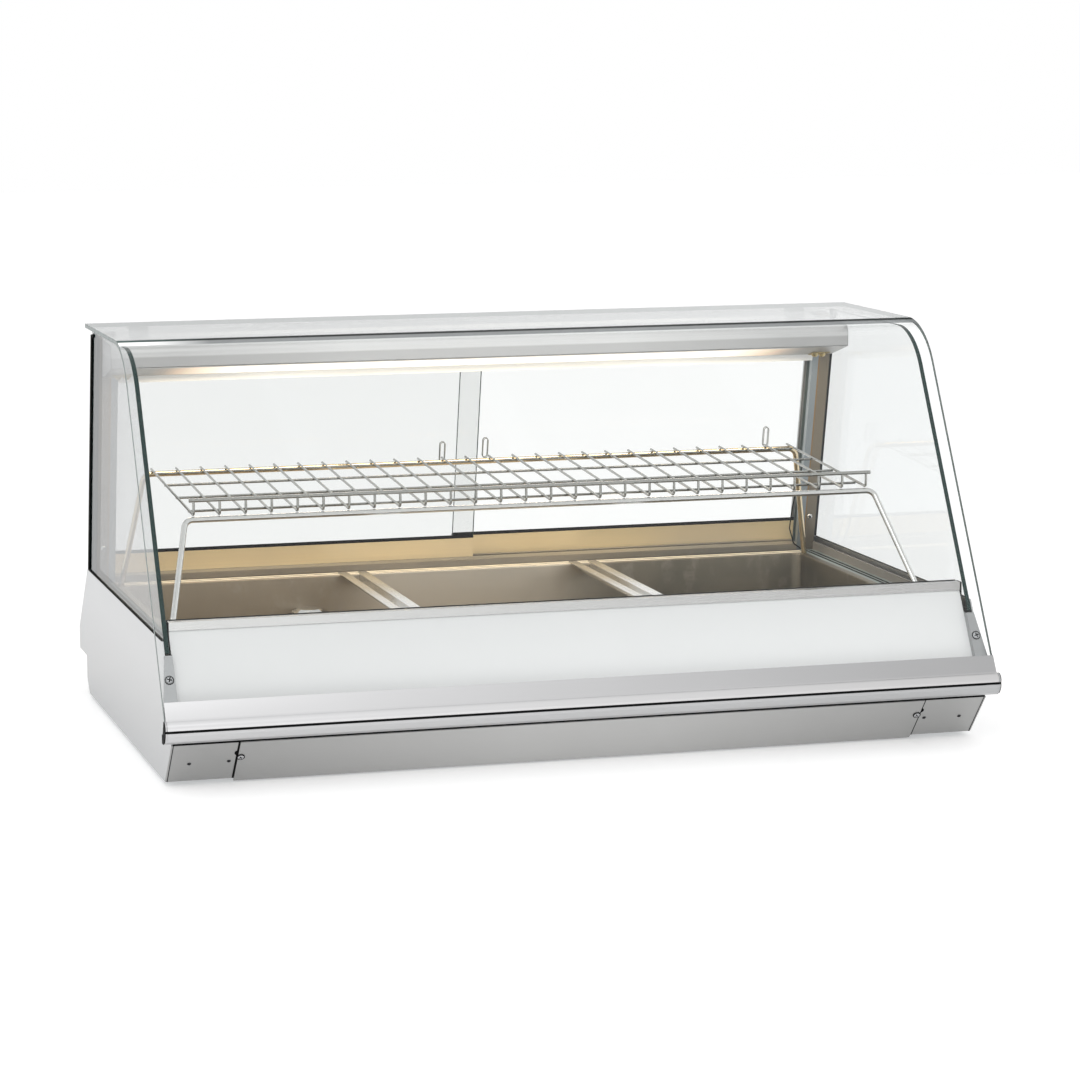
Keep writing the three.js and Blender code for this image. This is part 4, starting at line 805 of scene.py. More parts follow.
MAKERS = {
    "side_steel": lambda: shaded_satin(
        "side steel", (172, 173, 174), screen("side_colour"), 0.06, 0.09, "Z", 0.38
    ),
    "white_paint": lambda: powder_coat(
        "white enamel", screen("panel_colour"), *[end[2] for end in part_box("front_panel")]
    ),
    "plinth_steel": lambda: shaded_satin(
        "plinth steel", (188, 188, 187), (190, 190, 189), 0, 1, "X", 0.36, 1.0, (0.1, 0.5)
    ),
    "bracket_steel": lambda: brushed_metal("bracket steel", (168, 169, 170), (1, 60, 60), 0.36, 0.05),
    "bar_steel": lambda: shaded_satin(
        "pan bar steel", (232, 234, 236), (196, 190, 178), 0.06, 0.05, "Y", 0.24, 0.65
    ),
    "panel_steel": lambda: brushed_metal("control panel steel", (196, 196, 194), (120, 1, 1), 0.32, 0.05),
    "tank": lambda: tank_steel("well steel"),
    "rail_left": lambda: warm_rail("left door rail", (244, 222, 176), (230, 212, 178), 0.6, -0.0045, 0.16),
    "rail_right": lambda: warm_rail("right door rail", (244, 222, 176), (230, 212, 178), 0.6, 0.0065, 0.16),
    "rim": lambda: warm_rail("well rim", (252, 238, 210), (246, 232, 202), 0.05, glow=0.3),
    "bumper": lambda: shaded_satin("bumper aluminium", (196, 196, 197), (172, 173, 174), 0.1, 0.6, "X", 0.34),
    "hinge": lambda: hinge_metal("hinge aluminium"),
    "ledge": lambda: ledge_metal("ledge aluminium"),
    "track": lambda: warm_rail("track", (166, 159, 147), (150, 147, 141), 0.6, 0.0115, 0.06),
    "trim": lambda: shaded_satin("trim aluminium", (216, 215, 214), (162, 160, 159), 0.15, 0.7, "X", 0.26),
    "post": lambda: post_metal("post aluminium"),
    "canopy": lambda: shaded_satin(
        "canopy aluminium", (206, 205, 204), (240, 239, 238), 0.506, 0.0014, "Z", 0.36, fade=(0.2, 0.44)
    ),
    "header": lambda: header_metal("header aluminium"),
    "screw": lambda: screw_head("plated screw", (184, 185, 187)),
    "dark_screw": lambda: screw_head("blackened screw", (62, 62, 64)),
    "mirror": lambda: brushed_metal("reflector", (232, 230, 224), (60, 1, 1), 0.12, 0.03),
    "glass": lambda: clear_glass("clear glass"),
    # The left door's pane lets less light through than the right's: painted shade.
    "glass_left": lambda: clear_glass("left door glass", clear=(0.93, 0.934, 0.93)),
    "glass_right": lambda: clear_glass("right door glass", clear=(0.975, 0.977, 0.974)),
    # The curved glass's mirror is painted darker at its left end than at its right: a painted reflection.
    "front_glass": lambda: clear_glass("curved glass", (200, 202, 203), (240, 242, 243), 0.006),
    "glass_edge": lambda: edge_glass("glass edge", screen("glass_edge_colour")),
    "thin_edge": lambda: edge_glass("thin glass edge", (112, 122, 120)),
    "frosting": lambda: edge_glass("ground glass", (132, 136, 136), 0.5),
    "bend_dark_reflection": lambda: bend_band("painted dark reflection in the bend", (70, 92, 88), (10, 18, 17), 0.9),
    "bend_glint": lambda: bend_band("painted highlight in the bend", (254, 254, 254), (140, 144, 145), 0.76, 0.55),
    "chrome": lambda: chrome_wire("bright plating", (206, 206, 204)),
    # The grid's wires take a darker copy of the plating: painted shade.
    "wire": lambda: chrome_wire("wire plating with painted shade", (162, 162, 158)),
    # The rear rod takes a warm copy of the plating: painted lamp light.
    "lamp_lit_chrome": lambda: chrome_wire("plating with painted lamp light", (206, 190, 160)),
    "rubber": lambda: moulded("black rubber", (24, 24, 25), 0.75, shine=0.2),
    "plastic": lambda: moulded("black plastic", (30, 30, 32), 0.45, 0.8, 0.02),
    "mark": lambda: moulded("white marking", (232, 232, 230), 0.5),
    "amber": lambda: glowing("amber lens", (255, 140, 40), 0.6),
    "green": lambda: glowing("green lens", (90, 220, 120), 0.4),
    "red_grip": lambda: moulded("red sleeve", (150, 28, 24), 0.5),
    "pad": lambda: moulded("clear pad", (206, 208, 208), 0.4),
    "galvanised": lambda: galvanised("zinc-coated sheet", (168, 172, 174)),
    "brass": lambda: brushed_metal("brass", (196, 164, 96), (1, 1, 30), 0.26, 0.08),
    "fitting": lambda: brushed_metal("canopy fittings", (176, 160, 120), (1, 1, 30), 0.32, 0.08),
    "heater": lambda: brushed_metal("heater sheath", (104, 98, 92), (20, 20, 1), 0.45, 0.2),
    "lamp": lambda: glowing("lamp glass", (255, 232, 190), 3.0),
    "diffuser": lambda: lamp_window("lamp window"),
    # Near-black rubber for the seals, strips and wire, also for the strips of painted shade in gaps.
    "seal": lambda: moulded("black seal and painted shade strip", (14, 14, 15), 0.7, 1.6, 0.02, 0.08),
    "recess": lambda: moulded("shadowed recess", (16, 16, 17), 0.8, shine=0.05),
}
FINISHES = {}


def finish_of(key):
    """One material for each finish, made when it is first asked for."""
    if key not in FINISHES:
        FINISHES[key] = MAKERS[key]()
    return FINISHES[key]


def dress(key, *nodes):
    """Gives solids of the frame a finish."""
    for node in nodes:
        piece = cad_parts[node]
        piece.data.materials.clear()
        piece.data.materials.append(finish_of(key))


# ---- Sizes and colours that a user would change ----


def colour_property(name, description, values):
    return bpy.props.FloatVectorProperty(
        name=name, description=description, default=tuple(c / 255 for c in values), subtype="COLOR",
        min=0, max=1, size=3,
    )


def length_property(name, description, millimetres):
    return bpy.props.FloatProperty(
        name=name, description=description, default=millimetres * MM, min=0, subtype="DISTANCE", unit="LENGTH"
    )


def count_property(name, description, default, least):
    return bpy.props.IntProperty(name=name, description=description, default=default, min=least)


def light_property(name, description, default, unit="POWER"):
    return bpy.props.FloatProperty(name=name, description=description, default=default, min=0, unit=unit)


class DisplayCaseSizes(bpy.types.PropertyGroup):
    bend_steps: count_property("Bend steps", "Faces along each rounded bend of the glass", 40, 4)
    rod_sides: count_property("Rod sides", "Faces round each rod of the shelf", 20, 6)
    glass_edge: length_property("Glass edge", "Width of the ground edge of every pane", 0.5)
    gasket: length_property("Gasket", "Height of the black strips at the foot of the doors", 2.4)
    well_fillet: length_property("Well fillet", "Radius between the well's walls and its floor", 12)


class DisplayCaseColours(bpy.types.PropertyGroup):
    panel_colour: colour_property("Front panel", "White enamel of the front panel", (238, 238, 238))
    side_colour: colour_property("Side panels", "Steel of the side panels", (199, 200, 201))
    glass_edge_colour: colour_property("Glass edge", "Ground edge of the glass", (20, 50, 47))


class DisplayCaseLight(bpy.types.PropertyGroup):
    key_power: light_property("Key power", "Power of the large lamp over the front", 30)
    fill_power: light_property("Fill power", "Power of each lamp at the sides", 6)
    surround: light_property("Surround", "Strength of the surround's soft light", 0.75, "NONE")
    floor_glow: light_property("Floor glow", "Light that the white floor gives off by itself", 0.34, "NONE")
    lamp_glow: light_property("Lamp glow", "Power of each of the case's warm lamps", 0.6)


# ---- Forms of the case ----


def offset(outline, amount):
    """An outline moved outwards by an amount, with mitred corners."""
    outline = np.asarray(outline, float)
    if area_sign(outline) < 0:
        amount = -amount
    step = np.roll(outline, -1, axis=0) - outline
    length = np.maximum(np.linalg.norm(step, axis=1, keepdims=True), 1e-9)
    normal = np.stack([step[:, 1], -step[:, 0]], axis=1) / length
    before = np.roll(normal, 1, axis=0)
    bend = np.maximum(1 + (before * normal).sum(axis=1, keepdims=True), 0.2)
    return outline + (before + normal) * amount / bend


def pane(outline, low, high, edge, rim, plane="yz"):
    """A pane of glass: an outline carried along the third axis, its two ends chamfered by the edge's width.

    Returns the surface and a pick for each face: rim holds the pick of each side of the outline, 1 being a
    ground edge. Chamfers are ground too. The two ends are clear, 0, where the whole rim is ground, and
    ground where it isn't.
    """
    outline = np.asarray(outline, float)
    count = len(outline)
    rim = np.broadcast_to(rim, count).astype(int)
    clear = 0 if rim.all() else 1
    inner = offset(outline, -edge)
    rings = [(inner, low), (outline, low + edge), (outline, high - edge), (inner, high)]
    points = np.concatenate([placed(ring, plane, where) for ring, where in rings])
    picks = np.concatenate([np.ones(count, int), rim, np.ones(count, int)]).tolist()
    return (points, skin(4, count)), picks + [clear, clear]


def sloping(surface):
    """A surface drawn on the sloping panel: x to the operator's right, y up the slope, z out of it."""
    points, faces = surface
    x, y, z = np.asarray(points, float).T
    s, c = math.sin(SLOPE_LEAN), math.cos(SLOPE_LEAN)
    return np.stack([-x, SLOPE_MIDDLE[0] - y * c + z * s, SLOPE_MIDDLE[1] + y * s + z * c], axis=1), faces


def leaning(surface):
    """A surface drawn as (x, v, w), put in the rear wall's leaning frame."""
    points, faces = surface
    x, v, w = np.asarray(points, float).T
    return np.stack([x, *on_rear(w, v)], axis=1), [face[::-1] for face in faces]


def mirrored(surface):
    """A surface's twin on the other side of the case."""
    points, faces = surface
    return np.asarray(points, float) * (-1, 1, 1), [face[::-1] for face in faces]


def moved(surface, by):
    """A surface moved by a vector."""
    points, faces = surface
    return points + by, faces


def sizes():
    return bpy.context.scene.display_case_sizes


# ---- Operators: one for each group of pieces ----


class DISPLAYCASE_OT_glass(bpy.types.Operator):
    """Makes the curved front glass and the side panes with their ground edges, and the side panes' seals"""

    bl_idname = "display_case.glass"
    bl_label = "Front and side glass"

    def execute(self, context):
        steps = sizes().bend_steps
        edge = sizes().glass_edge / MM
        start = 180 - math.degrees(GLASS_LEAN)
        # Whole degrees near the top, where the two bands of painted light and shade lie in the bend.
        angles = np.concatenate([np.linspace(start, 111, steps), np.linspace(110, 90, 21)])
        outer = np.concatenate([
            [on_glass(0, 0)],
            [arc(BEND_CENTRE, BEND_RADIUS, angle, angle, 0)[0] for angle in angles],
            [rear_at(TOP, -10)],
        ])
        outline = folded(outer, -GLASS_THICK)
        rim = np.zeros(len(outline), int)
        rim[[len(outer) - 1, -1]] = 1
        for pick, (low, high) in ((2, BEND_DARK_REFLECTION), (3, BEND_GLINT)):
            rim[1:len(angles)][(angles[:-1] > low) & (angles[:-1] < high)] = pick
        surface, picks = pane(outline, -GLASS_HALF, GLASS_HALF, edge, rim)
        piece = Piece("curved_front_pane", "front_glass", "thin_edge", "bend_dark_reflection", "bend_glint")
        piece.add(surface, picks)
        piece.finish("front_glass_assembly", "clear_glass", ["front_glass"])

        foot = DECK + 3.3
        side = np.concatenate([
            [glass_at(foot, -PANE_INSET)],
            arc(BEND_CENTRE, BEND_RADIUS - PANE_INSET, start, 90, steps),
            [rear_at(TOP - PANE_INSET, -0.5), rear_at(foot, -0.5)],
        ])
        for end, (low, high) in (("left", (-PANE_X[1], -PANE_X[0])), ("right", PANE_X)):
            surface, picks = pane(side, low, high, edge, True)
            piece = Piece(f"side_pane_{end}_glass", "glass", "glass_edge").add(surface, picks)
            piece.finish("case", "clear_glass", [f"side_pane_{end}"])

        # The seals along a side pane's post and foot, and the two round clips on its outer face.
        seals = Piece("side_pane_seals", "seal")
        corner = np.array([[551.3, -6], [552.7, -6], [552.7, 2.6], [549.6, 2.6], [549.6, 0], [551.3, 0]])
        low, high = foot + 14.5, TOP - PANE_INSET - 6
        rings = [np.array([(x, *rear_at(z, w)) for x, w in corner]) for z in (low, high)]
        post_side = (np.concatenate(rings), skin(2, 6))
        line = [glass_at(foot + 13.9, -PANE_INSET - 6), rear_at(foot + 13.9, -7)]
        along_foot = prism(folded(line, 0.9), PANE_X[1] + 0.2, HALF_CASE - 0.1)
        clip = turned(filled([(3, 0), (3, 1), (2.4, 1.8)]), (PANE_X[1] + 0.1, 209, 530), (1, 0, 0), 20)
        bush = turned(filled([(4.4, 0), (4.4, 1.2), (3.6, 2)]), (HALF_CASE, -352, 92), (1, 0, 0), 20)
        for surface in (post_side, along_foot, clip, bush):
            seals.pair(surface)
        seals.finish("case", "rubber")
        return {"FINISHED"}


class DISPLAYCASE_OT_doors(bpy.types.Operator):
    """Makes the sliding door panes with their finger pulls, and the black strips at their feet"""

    bl_idname = "display_case.doors"
    bl_label = "Sliding doors"

    def execute(self, context):
        edge = sizes().glass_edge / MM
        gasket = sizes().gasket / MM
        # Each door's two ends, its pane's depth in the rear wall and its finger pulls' places.
        for end, low, high, w, pulls in (
            ("left", -DOOR_REACH, DOOR_OVERLAP, -6.5, (-38.5,)),
            ("right", -DOOR_OVERLAP, DOOR_REACH, 4.5, (29, 463)),
        ):
            body = f"door_{end}"
            back = w + DOOR_THICK
            surface, picks = pane(rectangle(low, DOOR_FOOT, high, DOOR_HEAD), w, back, edge, True, "xy")
            piece = Piece(f"door_{end}_glass", f"glass_{end}", "glass_edge").add(leaning(surface), picks)
            piece.finish(body, "clear_glass", [f"door_{end}_pane"])
            grips = Piece(f"door_{end}_finger_pulls", "frosting")
            for x in pulls:
                outline = stadium((x, (PULL_HEIGHT - REAR_ORIGIN[1]) / math.cos(REAR_LEAN)), *PULL_SIZE)
                for side in (w - 0.35, back + 0.05):
                    grips.add(leaning(collar(offset(outline, 0.5), offset(outline, -0.6), side, side + 0.3)))
            grips.finish(body, "clear_glass")
            strip = Piece(f"door_{end}_foot_strip", "seal")
            for a, b in ((w - 2.1, w - 0.1), (back + 0.1, back + 2.1)):
                profile = rounded(rectangle(a, STRIP_FOOT, b, STRIP_FOOT + gasket), 0.6, 3)
                line = np.array([on_rear(p, v) for p, v in profile])
                strip.add(prism(line, low + 0.5, high - 0.5))
            strip.finish(body, "rubber")
            dress(f"rail_{end}", f"door_{end}_rail")
        return {"FINISHED"}


class DISPLAYCASE_OT_well(bpy.types.Operator):
    """Makes the deep-drawn well with its filleted floor, the pan bars, and the ledges' cords and the beads"""

    bl_idname = "display_case.well"
    bl_label = "Well and pan bars"

    def ring(self, grow, z, radius):
        corners = rectangle(-WELL_HALF - grow, WELL_Y[0] - grow, WELL_HALF + grow, WELL_Y[1] + grow)
        return placed(rounded(corners, max(radius, 0.2), 8), "xy", z)

    def rim(self, z):
        return placed(rounded(rectangle(*WELL_RIM), 1.0, 8), "xy", z)

    def execute(self, context):
        fillet = sizes().well_fillet / MM
        sheet = 1.4
        corner = 14.0
        turn = np.radians(np.linspace(0, 90, 7))

        def foot(a, out=0.0):
            """The wall's fillet at angle a, and that far out of it through the sheet."""
            grow = -fillet * (1 - math.cos(a)) + out * math.cos(a)
            return self.ring(grow, WELL_FLOOR + fillet * (1 - math.sin(a)) - out * math.sin(a), corner + grow)

        # From the rim over the rolled edge, down the wall and its fillet to the drain, and back underneath.
        rings = [self.rim(DECK - 0.1), self.rim(DECK)]
        for a in np.radians((0, 30, 60, 90)):
            grow = 2 - 2 * math.sin(a)
            rings.append(self.ring(grow, DECK - 2 + 2 * math.cos(a), corner + grow))
        rings += [foot(a) for a in turn]
        floor = rings[-1]
        around = np.arctan2(floor[:, 1] - DRAIN[1], floor[:, 0] - DRAIN[0])
        spokes = np.stack([np.cos(around), np.sin(around)], axis=1)
        for radius, depth in ((17.8, 0), (13, 0.3), (10.4, 0.9), (10.4, sheet), (16, sheet)):
            rings.append(placed(DRAIN + radius * spokes, "xy", WELL_FLOOR - depth))
        rings += [foot(a, sheet) for a in turn[::-1]]
        rings += [self.ring(sheet, DECK - sheet, corner + sheet), self.rim(DECK - sheet)]
        count = len(rings[0])
        piece = Piece("well_basin", "tank")
        piece.add((np.concatenate(rings), lattice(len(rings), count, closed=True)))
        piece.finish("case", "well_steel", ["well_tank"])

        # A bar is a channel whose two flanges end in tongues that lie on the well's rim.
        top = 171.8
        half, strip, depth, wall = 21.0, 14.0, 11.5, 1.5
        line = [
            [-half, top], [strip - half, top], [strip - half, top - depth], [half - strip, top - depth],
            [half - strip, top], [half, top],
        ]
        section = folded(rounded(line, [0, 1.4, 1.4, 1.4, 1.4, 0], 4, closed=False), -wall)
        tongue = rounded(rectangle(-half, top - wall, strip - half - wall, top), [0.6, 0, 0, 0.6], 3)
        for end, x in (("left", -PAN_BAR_X), ("right", PAN_BAR_X)):
            bar = Piece(f"pan_bar_{end}_channel", "bar_steel")
            bar.add(moved(prism(section, -262, 246, "xz"), (x, 0, 0)))
            for low, high in ((-275, -262), (246, 259)):
                rest = prism(tongue, low, high, "xz")
                bar.add(moved(rest, (x, 0, 0)))
                bar.add(moved(mirrored(rest), (x, 0, 0)))
            bar.finish(f"{end}_pan_bar", "brushed_steel", [f"pan_bar_{end}"])
        dress("ledge", "side_ledge_left", "side_ledge_right")
        cords = Piece("ledge_groove_cords", "seal")
        for x in LEDGE_GROOVES:
            cords.pair(prism(rectangle(x - 1.9, DECK + 0.02, x + 1.9, DECK + 0.2), -290, 270, "xz"))
        cords.finish("case", "rubber")
        beads = Piece("well_rear_beads", "rim")
        for y in (WELL_Y[1] + 4, WELL_Y[1] + 16):
            beads.add(crossbar(517, y, DECK + 0.2, 0.8, 10))
        beads.finish("case", "aluminium")
        dress("chrome", "overflow_standpipe")
        return {"FINISHED"}


class DISPLAYCASE_OT_shelf(bpy.types.Operator):
    """Makes the wire shelf: two bent rods for legs and the welded grid with its front rail"""

    bl_idname = "display_case.shelf"
    bl_label = "Wire shelf"

    REAR = (201.0, 334.01)
    FRONT = (-115.0, 313.0)
    LIFT = 6.05
    HALF = 474
    FOOT = 170.3
    ROD, WIRE, RAIL = 4, 1.75, 2.5

    def at(self, share):
        return [a + share * (b - a) for a, b in zip(self.REAR, self.FRONT)]

    def execute(self, context):
        sides = sizes().rod_sides
        for name, place, foot_x, foot_y in (
            ("front", self.FRONT, 524, -210.08), ("rear", self.REAR, 515, 240.0),
        ):
            left, right = (-foot_x, foot_y, self.FOOT), (foot_x, foot_y, self.FOOT)
            path = bent([left, (-485, *place), (485, *place), right], 13, 10)
            piece = Piece(f"shelf_rod_{name}", "chrome" if name == "front" else "lamp_lit_chrome")
            points, faces = tube(path, self.ROD, sides)
            points[:, 2] = np.maximum(points[:, 2], self.FOOT)
            piece.add((points, faces))
            piece.finish("wire_shelf", "chrome", [f"shelf_frame_{name}"])

        # Wires that run to the front and turn up to its rail, and bars under them at shares of the way.
        bend_y = self.FRONT[0] - 2
        rail_z = self.FRONT[1] + 26
        rear = self.at(-5 / (self.REAR[0] - self.FRONT[0]))
        grid = Piece("shelf_wires", "wire")
        for x in np.linspace(-self.HALF, self.HALF, 28):
            corners = [
                (x, rear[0], rear[1] + self.LIFT),
                (x, bend_y, self.FRONT[1] + self.LIFT),
                (x, bend_y, rail_z),
            ]
            grid.add(tube(bent(corners, 5, 6), self.WIRE, 10))
        for share in (0.055, 0.315, 0.59, 0.875):
            y, z = self.at(share)
            grid.add(crossbar(self.HALF, y, z + self.LIFT - 2.6, self.WIRE, 10))
        grid.add(crossbar(self.HALF + 6, bend_y, rail_z, self.RAIL, 14))
        grid.finish("wire_shelf", "chrome", ["shelf_grid"])
        return {"FINISHED"}


class DISPLAYCASE_OT_canopy(bpy.types.Operator):
    """Makes the lamp canopy with its rounded front, its lamp window, the lamps and the fittings"""

    bl_idname = "display_case.canopy"
    bl_label = "Lamp canopy"

    def execute(self, context):
        wall = 1.5
        half = 540
        front = 129.0
        lip = (front, 491.0)
        heel = (front + 66, 473.5)
        rear_foot = rear_at(472, -20.3)
        rear_head = rear_at(527, -20.3)
        nose = arc((front + 14, 509), 14, 90, 180, 14)
        outline = np.concatenate([[rear_foot, rear_head], nose, [lip, heel]])
        shell = Piece("canopy_shell", "canopy")
        sheet = np.concatenate([[heel, rear_foot, rear_head], nose, [lip]])
        shell.add(prism(folded(sheet, wall if area_sign(outline) > 0 else -wall), -half, half))
        for low, high in ((-half, -half + wall), (half - wall, half)):
            shell.add(prism(outline, low, high))
        slope = (heel[1] - lip[1]) / (heel[0] - lip[0])

        def underside(near, far, thick, lift=0.0):
            """A strip of the sloping underside between two distances behind its lip."""
            line = [(front + y, lip[1] + y * slope + lift) for y in (near, far)]
            return line + [(y, z + thick) for y, z in line[::-1]]

        reach = 500
        # The underside's strips round the lamp window: two along it and one at each end.
        for near, far, low, high in (
            (0, 8, -half, half), (64, 66, -half, half), (8, 64, -half, -reach), (8, 64, reach, half),
        ):
            shell.add(prism(underside(near, far, wall), low, high))
        shell.finish("case", "aluminium", ["lamp_canopy"], bevel=0.5)

        window = Piece("lamp_window", "diffuser")
        window.add(prism(underside(8.3, 63.7, 1.4, 0.1), 0.3 - reach, reach - 0.3))
        window.finish("case", "lamp_glass")

        lamps = Piece("lamp_tubes", "lamp", "chrome")
        bulb = filled([(4, -44), (5, -42), (5, 42), (4, 44)])
        cap = filled([(5.6, 0), (6.9, 1.2), (6.9, 13), (6, 14.2)])
        for x in LAMPS:
            lamps.add(turned(bulb, (x, *LAMP_LINE), (1, 0, 0), 24))
            for side in (-1, 1):
                lamps.add(turned(cap, (x + side * 44, *LAMP_LINE), (side, 0, 0), 24), 1)
        lamps.finish("case", "lamp_glass", ["lamp_left", "lamp_middle", "lamp_right"])
        dress("mirror", "lamp_reflector")

        fitting = Piece("canopy_fittings", "fitting")
        down = np.array([0, slope, -1]) / math.hypot(slope, 1)
        for x, behind, radius in ((509, 56, 5.4), (521, 58, 5.0)):
            dome = [(radius, 0), (radius + 0.4, 1), (radius - 0.6, 3.6), (radius / 2, 5.4)]
            place = (x, front + behind, lip[1] + behind * slope - 0.1)
            fitting.pair(turned([(0.1, 0), *dome, (0.1, 6)], place, down, 28))
        plate = [(front + behind, lip[1] + behind * slope - 0.1) for behind in (48, 65)]
        fitting.pair(prism(folded(plate, -1.2), 502, 530))
        fitting.finish("case", "brass")
        return {"FINISHED"}


class DISPLAYCASE_OT_bumper(bpy.types.Operator):
    """Makes the bumper's fixed rail, the glass's turning profile, the seal between them and dark end plates of
    painted shade
    """

    bl_idname = "display_case.bumper"
    bl_label = "Bumper and hinge"

    def execute(self, context):
        front, back = 5.0, -6.5
        nose = arc(PIVOT, NOSE, 100, 205, 28)
        profile = np.concatenate([
            [on_glass(22.5, front), on_glass(-0.3, front)],
            nose,
            [[PIVOT[0] + NOSE - 0.8, PIVOT[1] - NOSE * math.sin(math.radians(25))]],
            [on_glass(-3, back - 2.5), on_glass(18, back - 2.5), on_glass(18, back), on_glass(-0.3, back)],
            [on_glass(-0.3, 0.5), on_glass(22.5, 0.5)],
        ])
        hinge = Piece("bumper_upper_profile", "hinge")
        hinge.add(prism(profile, 0.3 - BUMPER_HALF, BUMPER_HALF - 0.3))
        hinge.finish("front_glass_assembly", "aluminium", ["glass_hinge_profile"], bevel=0.35)

        plinth_top = glass_at(PIVOT[1] + 3, -PANE_INSET)[0]
        rear = plinth_top - 0.3
        cradle = NOSE + 0.8
        floor = PIVOT[1] - cradle
        foot = 63 + 4.5
        corners = [(14.4, foot), (4.5, foot + 4.5), (0, floor + 0.8), (0, floor + 4.5)]
        lip = [[rear, foot], *([BUMPER_FRONT + y, z] for y, z in corners)]
        lip = rounded(lip, [0, 3, 3, 2, 0], 5, closed=False)
        rail = Piece("bumper_lower_rail", "bumper")
        section = np.concatenate([lip, arc(PIVOT, cradle, 213, 285, 20), [[rear, floor]]])
        rail.add(prism(section, -BUMPER_HALF, BUMPER_HALF))
        cap = np.concatenate([lip, arc(PIVOT, NOSE, 200, 80, 30), [[PIVOT[0] + NOSE, floor], [rear, floor]]])
        for low, high in ((-BUMPER_END, -BUMPER_HALF), (BUMPER_HALF, BUMPER_END)):
            rail.add(prism(cap, low, high))
        rail.finish("case", "aluminium", ["bumper_rail"], bevel=0.35)
        dress("chrome", "glass_hinge_rod")

        wiper = Piece("bumper_wiper", "seal")
        reach = math.degrees(math.asin(5.2 / 9.25))
        curve = arc(PIVOT, 9.25, 180 + reach, 180 + 14, 8)
        wiper.add(prism(np.concatenate([curve, [[BUMPER_FRONT, 86.7], [BUMPER_FRONT, 83.9]]]), -564.8, 564.8))
        wiper.finish("case", "rubber")
        # Near-black plates on the bumper's ends: painted shade of their end faces.
        end_plates_of_shade = Piece("bumper_end_painted_shade", "seal")
        for low, high in ((-565, -BUMPER_END), (BUMPER_END, 565)):
            end_plates_of_shade.add(prism(cap, low, high))
        end_plates_of_shade.finish("case", "rubber")
        return {"FINISHED"}


class DISPLAYCASE_OT_front(bpy.types.Operator):
    """Finishes the panels, the trim, the plinth and the brackets, and makes near-black strips of painted shade
    in the gaps between them
    """

    bl_idname = "display_case.front"
    bl_label = "Front and side panels"

    def execute(self, context):
        dress("side_steel", "side_panel_left", "side_panel_right")
        dress("white_paint", "front_panel")
        dress("trim", "front_panel_trim")
        dress("bracket_steel", "front_bracket_left", "front_bracket_right")
        dress("plinth_steel", "plinth_corner_left", "plinth_corner_right", "plinth_access_panel")
        dress("galvanised", "base_pan")

        returns = Piece("bracket_returns", "bracket_steel")
        low, high = BRACKET_Z
        flap = [glass_at(low, -9.5), glass_at(high, -9.5), glass_at(high, -22), glass_at(low, -22)]
        returns.pair(prism(flap, 541.66, 541.84))
        returns.finish("case", "brushed_steel")

        # Near-black strips of painted shade over the front panel and under the bumper, in the plinth's seams
        # and at the trim's ends.
        gap_shades = Piece("front_painted_gap_shade", "seal")
        gap_shades.add(prism(rounded(rectangle(-281.2, 209.0, -279.2, 209.9), 0.3, 2), -541.6, 541.6))
        gap_shades.add(prism(rectangle(-366.8, 63.4, -356, 67.2), -550.8, 550.8))
        head, foot = PLINTH_SLOPE
        step = (foot - head) / np.linalg.norm(foot - head)
        out = np.array([step[1], -step[0]])
        for x0, x1, lift in ((550.0, 551.0, 0.35), (464.6, 467.0, 0.12)):
            seam = [head + out * lift, foot + out * lift, foot - out * 1.2, head - out * 1.2]
            gap_shades.pair(prism(seam, x0, x1))
        gap_shades.pair(prism([[-296.9, 182.6], [-283.1, 182.6], [-281.1, 209], [-296.6, 209]], 541.7, 544.4))
        gap_shades.finish("case", "rubber")
        return {"FINISHED"}


